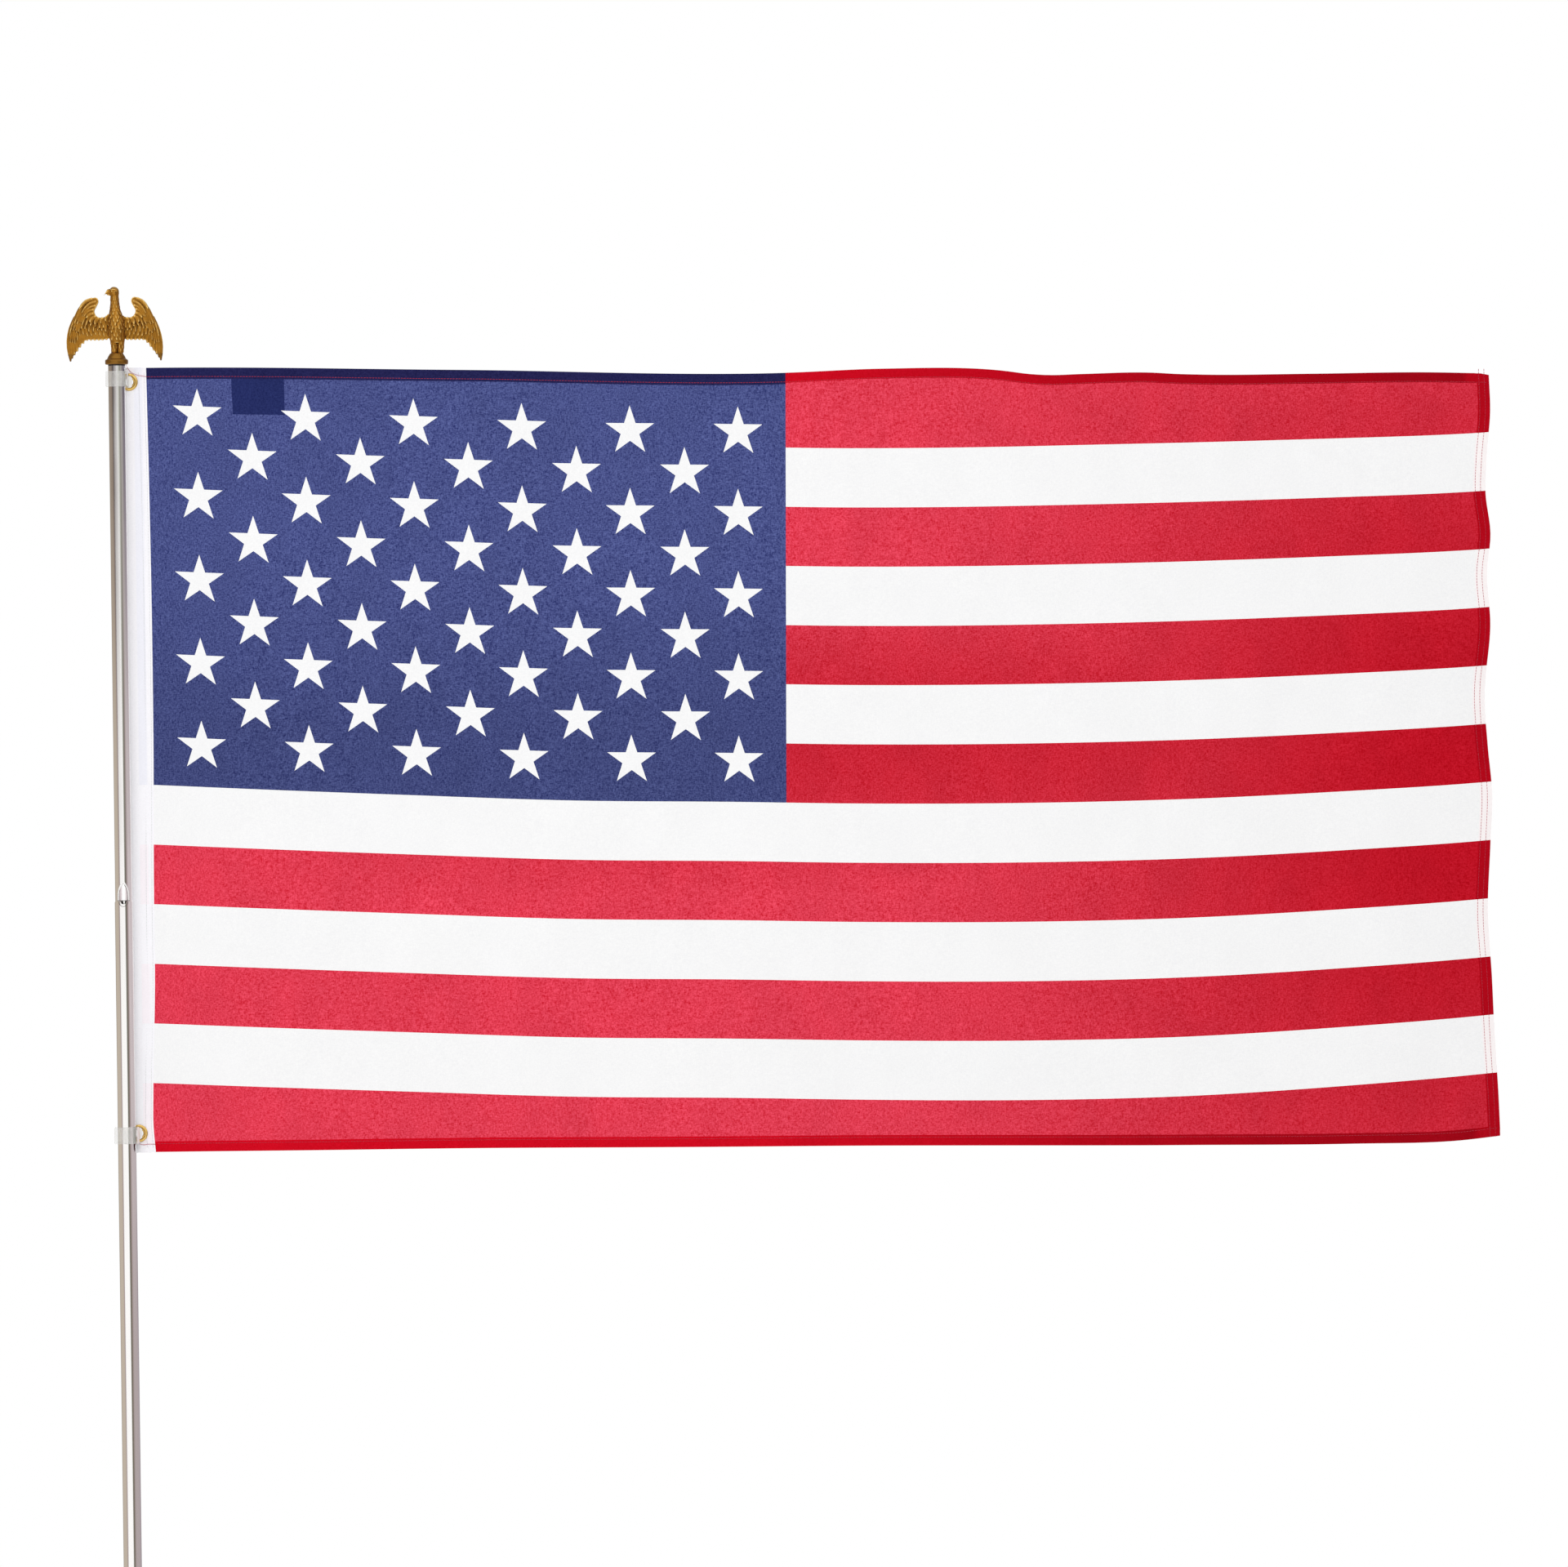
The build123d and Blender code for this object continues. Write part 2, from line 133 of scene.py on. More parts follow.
def lathe(profile, segments=64):
    """Points and faces of a solid of revolution about Z; profile is a closed loop of (radius, z)."""
    points = []
    faces = []
    count = len(profile)
    for s in range(segments):
        turn = 2 * math.pi * s / segments
        points += [(r * math.cos(turn), r * math.sin(turn), z) for r, z in profile]
        after = (s + 1) % segments
        for i in range(count):
            j = (i + 1) % count
            faces.append((s * count + i, after * count + i, after * count + j, s * count + j))
    return points, faces


# ---- node helpers -------------------------------------------------------------------------------
def srgb(red, green, blue):
    """Linear colour from 0-255 sRGB values, with alpha."""
    linear = [((c / 255 + 0.055) / 1.055) ** 2.4 if c > 10 else c / 255 / 12.92 for c in (red, green, blue)]
    return (*linear, 1.0)


def darker(colour, share):
    return tuple(c * share for c in colour[:3]) + (1,)


def add_node(tree, kind, inputs=None, **settings):
    """Adds a shader node. inputs maps a socket to a value, or to another node's output to link."""
    made = tree.nodes.new("ShaderNode" + kind)
    for key, value in settings.items():
        setattr(made, key, value)
    for key, value in (inputs or {}).items():
        if isinstance(value, bpy.types.NodeSocket):
            tree.links.new(value, made.inputs[key])
        else:
            made.inputs[key].default_value = value
    return made


def math_node(tree, operation, a, b=0.0, clamp=False):
    return add_node(tree, "Math", {0: a, 1: b}, operation=operation, use_clamp=clamp).outputs[0]


def mix_colour(tree, factor, a, b, blend="MIX"):
    made = add_node(tree, "Mix", {0: factor, 6: a, 7: b}, data_type="RGBA", blend_type=blend)
    return made.outputs[2]


def stretched(tree, scale):
    """Object coordinates in metres, multiplied by scale on each axis."""
    place = add_node(tree, "TexCoord").outputs["Object"]
    return add_node(tree, "Mapping", {0: place, "Scale": scale}).outputs[0]


def place_xyz(tree):
    """The x, y and z of a point, in metres, as three outputs."""
    return add_node(tree, "SeparateXYZ", {0: stretched(tree, (1, 1, 1))}).outputs


def shaded(tree, colour, shade):
    """A colour multiplied by one brightness."""
    shades = add_node(tree, "CombineColor", {0: shade, 1: shade, 2: shade}).outputs[0]
    return mix_colour(tree, 1.0, colour, shades, blend="MULTIPLY")


def base_colour(material):
    """A material's tree and shader, and what its base colour is linked to."""
    tree = material.node_tree
    shader = tree.nodes["Principled BSDF"]
    return tree, shader, shader.inputs["Base Color"].links[0].from_socket


def noise(tree, scale, detail=2.0, roughness=0.5):
    """Noise between 0 and 1; scale is the number of features a metre on each axis."""
    vector = stretched(tree, scale)
    inputs = {"Vector": vector, "Scale": 1.0, "Detail": detail, "Roughness": roughness}
    return add_node(tree, "TexNoise", inputs).outputs[0]


def remap(tree, value, low, high, to_low=0.0, to_high=1.0):
    made = add_node(tree, "MapRange", {0: value, 1: low, 2: high, 3: to_low, 4: to_high})
    return made.outputs[0]


def smooth_remap(tree, value, low, high):
    made = add_node(tree, "MapRange", {0: value, 1: low, 2: high}, interpolation_type="SMOOTHSTEP")
    return made.outputs[0]


def new_material(name, roughness=0.5, metallic=0.0, **uniform):
    """A Principled material. uniform holds values set on the shader's own sockets."""
    material = bpy.data.materials.new(name)
    material.use_nodes = True
    tree = material.node_tree
    shader = tree.nodes["Principled BSDF"]
    shader.inputs["Roughness"].default_value = roughness
    shader.inputs["Metallic"].default_value = metallic
    for key, value in uniform.items():
        shader.inputs[key.replace("_", " ")].default_value = value
    return material, tree, shader


def set_input(tree, shader, name, output):
    tree.links.new(output, shader.inputs[name])


def add_bump(tree, shader, height, distance, strength=1.0):
    """Links a bump of the given height field; distance is its depth in metres."""
    bump = add_node(tree, "Bump", {"Height": height, "Distance": distance, "Strength": strength})
    set_input(tree, shader, "Normal", bump.outputs[0])


# ---- cloth materials ----------------------------------------------------------------------------
def slubs(tree):
    """The uneven yarns of a plain weave: fine streaks along both thread directions."""
    upright = noise(tree, (900, 900, 330), detail=3.0, roughness=0.65)
    level = noise(tree, (330, 330, 900), detail=3.0, roughness=0.65)
    halves = [math_node(tree, "MULTIPLY", streaks, 0.5) for streaks in (upright, level)]
    return math_node(tree, "ADD", *halves)


def weave_height(tree):
    """The crossing threads of a plain weave."""
    bands = {"Vector": stretched(tree, (1, 1, 1)), "Scale": 400.0}
    across, along = [add_node(tree, "TexWave", bands, bands_direction=way).outputs["Fac"] for way in "XZ"]
    threads = math_node(tree, "MULTIPLY", across, along)
    return math_node(tree, "ADD", math_node(tree, "MULTIPLY", threads, 0.35), slubs(tree))


def cloth_material(name, yarn, pale, contrast=0.13, painted_shade_yarn=None, painted_shade_pale=None, mottled=0.05):
    """Printed plain weave: pale flecks between dyed yarns, mottled, optionally with painted shade deeper
    towards the fly.
    """
    material, tree, shader = new_material(name, roughness=0.85, Specular_IOR_Level=0.04)
    fleck = remap(tree, slubs(tree), 0.5 - contrast, 0.5 + contrast)
    colour = mix_colour(tree, fleck, yarn, pale)
    # painted shade: the red is deepened towards the fly, where the light falls off, and along a band through
    # the middle rows for the shade of a fold
    if painted_shade_yarn:
        x, _, z = place_xyz(tree)
        off_middle = math_node(tree, "SUBTRACT", z, DATUM - 0.5)
        spread = math_node(tree, "POWER", math_node(tree, "DIVIDE", off_middle, 0.629), 2.0)
        share = math_node(tree, "SUBTRACT", 1.0, spread)
        towards_fly = smooth_remap(tree, x, 0.75, 1.5)
        off_fold = math_node(tree, "DIVIDE", math_node(tree, "SUBTRACT", z, DATUM - 0.43), 0.2)
        fold_shade = math_node(tree, "SUBTRACT", 0.7, math_node(tree, "POWER", off_fold, 2.0), clamp=True)
        fold_shade = math_node(tree, "MULTIPLY", fold_shade, smooth_remap(tree, x, 0.0, 0.8))
        painted_shade = math_node(tree, "MAXIMUM", math_node(tree, "MULTIPLY", towards_fly, share), fold_shade, clamp=True)
        colour = mix_colour(tree, painted_shade, colour, mix_colour(tree, fleck, painted_shade_yarn, painted_shade_pale))
    mottle = remap(tree, noise(tree, (24, 24, 17), detail=3.0), 0.3, 0.7, 1 - mottled, 1 + mottled)
    set_input(tree, shader, "Base Color", shaded(tree, colour, mottle))
    add_bump(tree, shader, weave_height(tree), 0.00012, 0.5)
    return material


def heading_canvas():
    """White canvas; the field's raw edge shows faintly through it beside the dyed stripes."""
    material = cloth_material("heading_canvas", srgb(243, 242, 246), srgb(252, 251, 255), 0.2, mottled=0.012)
    tree, shader, canvas = base_colour(material)
    x, _, z = place_xyz(tree)
    pair = 2 * stripe_height(FIELD_SEEN_FROM) * MM
    level = seam(LEVEL_SEAM, FIELD_SEEN_FROM)
    depth = math_node(tree, "SUBTRACT", DATUM - level * MM, z)
    # eight pairs more keep the dividend positive above the level seam
    phase = math_node(tree, "FRACT", math_node(tree, "DIVIDE", math_node(tree, "ADD", depth, 8 * pair), pair))
    in_canton = math_node(tree, "LESS_THAN", depth, (seam(CANTON_STRIPES, FIELD_SEEN_FROM) - level) * MM)
    in_red = math_node(tree, "MULTIPLY", math_node(tree, "LESS_THAN", phase, 0.5),
                       math_node(tree, "SUBTRACT", 1.0, in_canton))
    over_edge = math_node(tree, "SUBTRACT", smooth_remap(tree, x, 0.0165, 0.019),
                          smooth_remap(tree, x, 0.0255, 0.0285))
    pink = math_node(tree, "MULTIPLY", in_red, math_node(tree, "MULTIPLY", over_edge, 0.2))
    blue = math_node(tree, "MULTIPLY", in_canton, math_node(tree, "MULTIPLY", over_edge, 0.25))
    tinted = mix_colour(tree, pink, canvas, srgb(252, 222, 230))
    set_input(tree, shader, "Base Color", mix_colour(tree, blue, tinted, srgb(214, 218, 238)))
    return material


def deepen(material, shade_of):
    """Multiplies a cloth's colour by shade_of(tree, x, z), a brightness by place."""
    tree, shader, printed = base_colour(material)
    x, _, z = place_xyz(tree)
    set_input(tree, shader, "Base Color", shaded(tree, printed, shade_of(tree, x, z)))
    return material


def hem_shade(tree, x, z):
    """Painted shade on the doubled red cloth: it deepens towards the fly, where the light falls off, and is a
    little lighter on the fly's own hem.
    """
    deeper = math_node(tree, "MULTIPLY", smooth_remap(tree, x, 0.6, 1.45), 0.46)
    lighter = math_node(tree, "MULTIPLY", smooth_remap(tree, x, 1.495, 1.505), 0.16)
    return math_node(tree, "ADD", math_node(tree, "SUBTRACT", 1.0, deeper), lighter)


def canton_shade(tree, x, z):
    """The canton is a little deeper towards its foot."""
    deeper = math_node(tree, "MULTIPLY", smooth_remap(tree, z, DATUM - 0.2, DATUM - 0.45), 0.2)
    return math_node(tree, "SUBTRACT", 1.0, deeper)


def thread_material(name, colour):
    material, tree, shader = new_material(name, roughness=0.8, Specular_IOR_Level=0.1)
    shader.inputs["Sheen Weight"].default_value = 0.2
    tint = mix_colour(tree, noise(tree, (1500, 1500, 1500)), colour, darker(colour, 0.75))
    set_input(tree, shader, "Base Color", tint)
    add_bump(tree, shader, noise(tree, (2500, 2500, 2500)), 0.00005)
    return material


CLOTH_SLOTS = ("navy", "red", "white", "navy_hem", "red_hem", "white_hem", "navy_label")


def make_cloth_materials():
    return {
        "navy": deepen(cloth_material("navy_cloth", srgb(36, 42, 98), srgb(94, 104, 161)), canton_shade),
        "red": cloth_material("red_cloth", srgb(198, 18, 38), srgb(243, 82, 106),
                              painted_shade_yarn=srgb(172, 1, 16), painted_shade_pale=srgb(203, 26, 46)),
        "white": cloth_material("white_cloth", srgb(240, 240, 241), srgb(248, 248, 248), mottled=0.01),
        # painted shade: the navy and red hems are darker copies of their cloths, for the backlight that
        # passes less through the doubled cloth
        "navy_hem": cloth_material("navy_hem_cloth", srgb(24, 24, 66), srgb(42, 42, 88)),
        "red_hem": deepen(cloth_material("red_hem_cloth", srgb(196, 5, 23), srgb(212, 13, 37)), hem_shade),
        "white_hem": cloth_material("white_hem_cloth", srgb(246, 239, 239), srgb(252, 246, 246),
                                    mottled=0.015),
        # painted shadow: the navy over the label is a darker copy, for the label's shadow seen through the
        # cloth
        "navy_label": cloth_material("navy_label_shadow_cloth", srgb(27, 34, 82), srgb(44, 53, 106)),
        "heading": heading_canvas(),
        "label": cloth_material("label_cloth", srgb(226, 224, 218), srgb(240, 238, 233)),
    }


# ---- metal, plastic and rubber materials --------------------------------------------------------
def drawn_metal(name, colour, roughness, axis_scale, streak=0.06, **uniform):
    """Polished metal with fine lines along the direction whose scale is smallest."""
    material, tree, shader = new_material(name, roughness, metallic=1.0, **uniform)
    lines = noise(tree, axis_scale, detail=4.0, roughness=0.7)
    smudges = noise(tree, (30, 30, 9), detail=3.0)
    set_input(tree, shader, "Base Color", mix_colour(tree, lines, colour, darker(colour, 0.88)))
    rough = math_node(tree, "ADD", remap(tree, lines, 0.3, 0.7, roughness - streak, roughness + streak),
                      remap(tree, smudges, 0.45, 0.75, 0.0, 0.05))
    set_input(tree, shader, "Roughness", rough)
    add_bump(tree, shader, lines, 0.00001, 0.3)
    return material


def plating_with_painted_light(name, middle, sides, metallic):
    """Bright plating with painted light: a painted highlight along the middle of the front, a pinkish painted
    reflection at the sides, and a painted shadow low on the catch.
    """
    material, tree, shader = new_material(name, roughness=0.2, metallic=metallic)
    x, _, z = place_xyz(tree)
    # painted highlight: the middle colour, fading to the sides colour, a pinkish painted reflection
    off_middle = math_node(tree, "ABSOLUTE", math_node(tree, "SUBTRACT", x, 0.0006))
    colour = mix_colour(tree, smooth_remap(tree, off_middle, 0.0008, 0.0034), middle, sides)
    wear = noise(tree, (600, 600, 60), detail=3.0)
    colour = mix_colour(tree, math_node(tree, "MULTIPLY", wear, 0.12), colour, srgb(168, 160, 158))
    # painted shadow: black just above the lower tube's rim, for the shaded gap under the catch's foot
    foot_shadow = smooth_remap(tree, z, RIM_Z + 0.0022, RIM_Z + 0.0014)
    set_input(tree, shader, "Base Color", mix_colour(tree, foot_shadow, colour, srgb(26, 26, 24)))
    return material


def lathe_turned_metal(name, colour, roughness, pitch):
    """Spun or turned metal: circular tool lines about the Z axis, some wear and dust."""
    material, tree, shader = new_material(name, roughness, metallic=1.0)
    x, y, z = place_xyz(tree)
    squares = math_node(tree, "ADD", math_node(tree, "POWER", x, 2.0), math_node(tree, "POWER", y, 2.0))
    along = math_node(tree, "ADD", math_node(tree, "SQRT", squares), z)
    rings = add_node(tree, "TexNoise", {"W": along, "Scale": pitch, "Detail": 4.0}, noise_dimensions="1D")
    smudges = noise(tree, (22, 22, 22), detail=4.0)
    set_input(tree, shader, "Base Color", mix_colour(tree, smudges, colour, darker(colour, 0.8)))
    lined = remap(tree, rings.outputs[0], 0.3, 0.7, roughness - 0.08, roughness + 0.08)
    rough = math_node(tree, "ADD", lined, remap(tree, smudges, 0.4, 0.75, 0.0, 0.14))
    set_input(tree, shader, "Roughness", rough)
    add_bump(tree, shader, rings.outputs[0], 0.00003, 0.6)
    return material


def moulded(name, colour, roughness, grain=900.0, depth=0.00005):
    """Matt plastic, rubber or paint with a fine moulded grain and slight dust."""
    material, tree, shader = new_material(name, roughness)
    dust = noise(tree, (40, 40, 40), detail=4.0)
    dusty = tuple(min(1.0, c * 1.6 + 0.012) for c in colour[:3]) + (1,)
    set_input(tree, shader, "Base Color", mix_colour(tree, remap(tree, dust, 0.45, 0.8), colour, dusty))
    set_input(tree, shader, "Roughness", remap(tree, dust, 0.3, 0.7, roughness - 0.06, roughness + 0.06))
    add_bump(tree, shader, noise(tree, (grain, grain, grain), detail=3.0), depth)
    return material


def clear_plastic():
    """Hazed clear plastic; the flat straps in front of the heading are milky."""
    material, tree, shader = new_material("clear_plastic", roughness=0.12, Specular_IOR_Level=0.6)
    haze = noise(tree, (150, 150, 60), detail=2.0)
    milky = smooth_remap(tree, place_xyz(tree)[0], 0.0105, 0.0125)
    set_input(tree, shader, "Base Color", mix_colour(tree, haze, srgb(236, 235, 230), srgb(250, 250, 248)))
    set_input(tree, shader, "Roughness", remap(tree, haze, 0.3, 0.7, 0.08, 0.2))
    clear = remap(tree, haze, 0.3, 0.75, 0.14, 0.3)
    set_input(tree, shader, "Alpha", math_node(tree, "MAXIMUM", clear, milky))
    return material


def gold_casting():
    """Antique gold: bright rubbed tops and dark stain in the recesses, from the recess attribute."""
    material, tree, shader = new_material("antique_gold", roughness=0.36, metallic=0.9)
    recess = add_node(tree, "Attribute", attribute_name="recess").outputs["Fac"]
    patches = noise(tree, (110, 110, 110), detail=4.0)
    gold = mix_colour(tree, patches, srgb(145, 94, 27), srgb(188, 132, 45))
    stained = mix_colour(tree, smooth_remap(tree, recess, 0.52, 0.86), gold, srgb(50, 30, 8))
    rubbed = mix_colour(tree, smooth_remap(tree, recess, 0.42, 0.16), stained, srgb(246, 206, 122))
    plain_foot = smooth_remap(tree, place_xyz(tree)[2], EAGLE_FOOT + 0.0135, EAGLE_FOOT + 0.0115)
    bronze = mix_colour(tree, patches, srgb(120, 82, 28), srgb(158, 112, 44))
    set_input(tree, shader, "Base Color", mix_colour(tree, plain_foot, rubbed, bronze))
    set_input(tree, shader, "Roughness", remap(tree, patches, 0.3, 0.7, 0.26, 0.42))
    add_bump(tree, shader, noise(tree, (900, 900, 900), detail=3.0), 0.00008)
    return material


def polished_brass():
    material, tree, shader = new_material("polished_brass", roughness=0.16, metallic=1.0)
    tarnish = noise(tree, (260, 260, 260), detail=4.0)
    set_input(tree, shader, "Base Color", mix_colour(tree, tarnish, srgb(240, 206, 130), srgb(208, 168, 84)))
    set_input(tree, shader, "Roughness", remap(tree, tarnish, 0.3, 0.7, 0.1, 0.26))
    add_bump(tree, shader, noise(tree, (700, 700, 700)), 0.00003)
    return material


def dress_cad_nodes():
    """Gives every CAD node that stays visible its finished material."""
    pole = drawn_metal("drawn_tube", srgb(240, 238, 236), 0.085, (2600, 2600, 14), streak=0.025)
    bright = drawn_metal("bright_steel", srgb(205, 205, 208), 0.22, (900, 900, 900))
    turned = lathe_turned_metal("turned_steel", srgb(200, 200, 203), 0.24, 900.0)
    spun = lathe_turned_metal("spun_aluminium", srgb(214, 213, 211), 0.3, 520.0)
    iron = moulded("painted_casting", srgb(34, 34, 36), 0.55, grain=260.0, depth=0.0003)
    rubber = moulded("black_rubber", srgb(22, 22, 23), 0.8)
    plastic = moulded("black_plastic", srgb(20, 20, 22), 0.45)
    clear = clear_plastic()
    brass = polished_brass()
    finishes = {
        pole: ["lower_tube", "upper_tube"],
        bright: ["catch_spring", "clamp_screw", "finial_screw"],
        turned: ["socket_tube", "socket_washer", "socket_nut", "socket_collar"],
        spun: ["base_cover"],
        iron: ["base_weight"],
        rubber: ["base_pad", "rest_pad"],
        plastic: ["pole_end_cap", "glide_plug", "finial_plug"],
        clear: ["upper_clip", "lower_clip"],
        brass: ["upper_washer", "lower_washer"],
    }
    for material, names in finishes.items():
        for name in names:
            node = NODES[name]
            node.data.materials.clear()
            node.data.materials.append(material)
    return brass, bright


# ---- flag layout (millimetres, x and depth) -----------------------------------------------------
FIELD_START = 18.0               # the field's raw edge, tucked inside the heading
FIELD_SEEN_FROM = 32             # where the field comes out from under the heading
top_edge = through((18, 3), (32, 3), (380, 10), (745, 18), (850, 15), (985, 19), (1015, 23.2),
                   (1034, 24.6), (1075, 24), (1150, 23.5), (1180, 25.4), (1207, 26.4), (1330, 27),
                   (1460, 27.2), (1526, 29.4))
foot_edge = through((18, 876), (31, 876), (220, 876.4), (400, 876.6), (590, 878.2), (815, 879.5),
                    (1180, 883.8), (1360, 884.6), (1490, 882), (1527, 878))
fly_edge = through((31, 1526), (70, 1527), (125, 1522), (160, 1520.5), (209, 1525.5), (250, 1521),
                   (307, 1524), (389, 1516.5), (446, 1519.5), (496, 1523.5), (550, 1521), (634, 1517),
                   (700, 1520.5), (760, 1522.5), (830, 1526), (878, 1527.6))
hoist_edge = through((3, 31.7), (140, 33.5), (412, 34.4), (590, 32.7), (685, 32.5), (812, 29), (843, 28.6),
                     (876, 30.9))
sag = through((32, 0), (160, 7), (320, 15), (500, 23.3), (680, 27.2), (816, 30.9), (1000, 33), (1180, 31.1),
              (1362, 24), (1512, 15.6), (1530, 14.2))
stripe_height = through((32, 66.4), (400, 66), (750, 65.9), (1187, 66.1), (1519, 64.8))
STRIPES = 13
CANTON_STRIPES = 7
LEVEL_SEAM = 8                   # the other seams are laid out from this one
LEVEL_SEAM_DEPTH = 533.6         # its depth where the cloth doesn't sag
CANTON_RIGHT = 743.5
CANTON_LEAN = 5.5                # how far the canton's edge moves towards the hoist, over CANTON_DEPTH
CANTON_DEPTH = 490
TOP_HEM_NAVY = 12.7
TOP_HEM_RED = 11.0
FOOT_HEM = 11.8
FLY_HEM = 13.6
STAR_R = 28.5
STAR_INNER = 0.382               # inner to outer radius of a regular five-pointed star
STAR_GAP_X = 120.0
STAR_GAP_Z = 46.2
STAR_ROWS = 9
FIRST_STAR = (88.0, 55.5)
SHORT_ROW_START = 148.5
LABEL_TOP_LEFT = (126.0, 14.0)
LABEL_SIZE = (59.0, 42.0)


def seam(k, x):
    """Depth of the boundary above stripe k (stripes count from 0 at the top)."""
    return LEVEL_SEAM_DEPTH + sag(x) + (k - LEVEL_SEAM) * stripe_height(x)


def canton_edge(depth):
    return CANTON_RIGHT - CANTON_LEAN * depth / CANTON_DEPTH


def star_centres():
    """Nine rows of six and five stars in turn, which follow the droop of the cloth."""
    left, top = FIRST_STAR
    last = STAR_ROWS - 1
    for row in range(STAR_ROWS):
        count, first = (6, left) if row % 2 == 0 else (5, SHORT_ROW_START)
        for column in range(count):
            x = first + STAR_GAP_X * column
            droop = (sag(x) - sag(left)) * (1 + 0.14 * (last - row) / last)
            slant = (1.6 - 3.7 * row / last) * (x - left) / 600
            yield x + slant, top + STAR_GAP_Z * row + droop


def star_outline(x, depth):
    slope = (sag(x + 30) - sag(x - 30)) / 60
    points = []
    for corner in range(10):
        reach = STAR_R if corner % 2 == 0 else STAR_R * STAR_INNER
        turn = math.radians(90 + 36 * corner)
        across = reach * math.cos(turn)
        points.append((x + across, depth - reach * math.sin(turn) + slope * across))
    return points


def label_corners():
    x, depth = LABEL_TOP_LEFT
    width, height = LABEL_SIZE
    right, foot = x + width, depth + height
    return [(x, depth), (right, depth + 1.5), (right + 0.5, foot + 1.5), (x + 1.5, foot)]


CREASES = [                      # start, end, half width, height: soft folds left from packing
    ((1164, 36), (1160, 53), 3.0, 1.3),
    ((1208, 50), (1252, 84), 8.0, 2.7),
    ((1010, 42), (1026, 90), 9.0, 1.7),
    ((1058, 99), (1142, 94), 7.0, 1.8),
    ((1318, 114), (1382, 139), 9.0, 2.3),
    ((1442, 46), (1464, 74), 9.0, 2.1),
    ((1330, 60), (1300, 92), 10.0, 1.5),
    ((1476, 822), (1492, 854), 9.0, 1.8),
    ((1160, 150), (1163, 880), 2.6, 0.30),
    ((790, 560), (786, 880), 2.6, 0.26),
    ((826, 30), (838, 120), 8.0, 0.5),
]


def relief(x, depth):
    """How far the cloth stands back from a plane, in millimetres: slow waves and a few creases."""
    free = ease(x, 40, 220)
    waves = 1.6 * np.sin(x / 66 + depth / 410 + 0.6) * ease(x, 500, 1300)
    waves = waves + 1.8 * np.sin(x / 121 - depth / 300 + 1.9) + 0.7 * np.sin(x / 37 + depth / 160)
    total = free * waves
    for (x0, d0), (x1, d1), half_width, height in CREASES:
        run = np.array([x1 - x0, d1 - d0])
        length = np.hypot(*run)
        along = ((x - x0) * run[0] + (depth - d0) * run[1]) / length
        off = ((x - x0) * run[1] - (depth - d0) * run[0]) / length
        ended = ease(along, length - half_width, length + half_width)
        ends = ease(along, -half_width, half_width) * (1 - ended)
        total = total - height * ends * np.exp(-((off / half_width) ** 2))
    return total


def on_cloth(x, depth, back=0.0):
    """The place in the frame of a point of the flag; back is in millimetres behind the cloth's front."""
    return (x * MM, CLOTH_FRONT + (0.4 + back + relief(x, depth)) * MM, DATUM - depth * MM)


# ---- flag sheets --------------------------------------------------------------------------------
def spaced(start, end, step):
    return np.linspace(start, end, max(2, int(round(abs(end - start) / step)) + 1))


def closed_loop(*sides):
    """Joins open sides, each a list of points, into one loop without repeated corners."""
    return [point for side in sides for point in side[:-1]]


def triangulate(loop, lines, grid_points, clear):
    """Triangles over a loop, with open lines and closed rings kept as edges, and free grid points."""
    points = [Vector(p) for p in loop]
    edges = [(i, (i + 1) % len(loop)) for i in range(len(loop))]
    for line in lines:
        first = len(points)
        points += [Vector(p) for p in line]
        edges += [(first + i, first + i + 1) for i in range(len(line) - 1)]
    tree = kdtree.KDTree(len(points))
    for i, point in enumerate(points):
        tree.insert((point[0], point[1], 0), i)
    tree.balance()
    points += [Vector(p) for p in grid_points if tree.find((p[0], p[1], 0))[2] > clear]
    made = geometry.delaunay_2d_cdt(points, edges, [], 1, 1e-4)
    return np.array([tuple(p) for p in made[0]]), [tuple(f) for f in made[2]]


def field_kind(x, depth):
    """Which cloth a point of the field shows, as a name in CLOTH_SLOTS, without the stars."""
    in_canton = x < canton_edge(depth) and depth < seam(CANTON_STRIPES, x)
    row = sum(depth > seam(k, x) for k in range(1, STRIPES))
    colour = "navy" if in_canton else ("red", "white")[row % 2]
    top_hem = TOP_HEM_NAVY if in_canton else TOP_HEM_RED
    in_hem = depth < top_edge(x) + top_hem or depth > foot_edge(x) - FOOT_HEM or x > fly_edge(depth) - FLY_HEM
    return colour + "_hem" if in_hem else colour


def inside(polygon, x, depth):
    """Whether a point lies in a polygon, by counting crossings."""
    odd = False
    for (x0, d0), (x1, d1) in zip(polygon, polygon[1:] + polygon[:1]):
        if (d0 > depth) != (d1 > depth) and x < (x1 - x0) * (depth - d0) / (d1 - d0) + x0:
            odd = not odd
    return odd


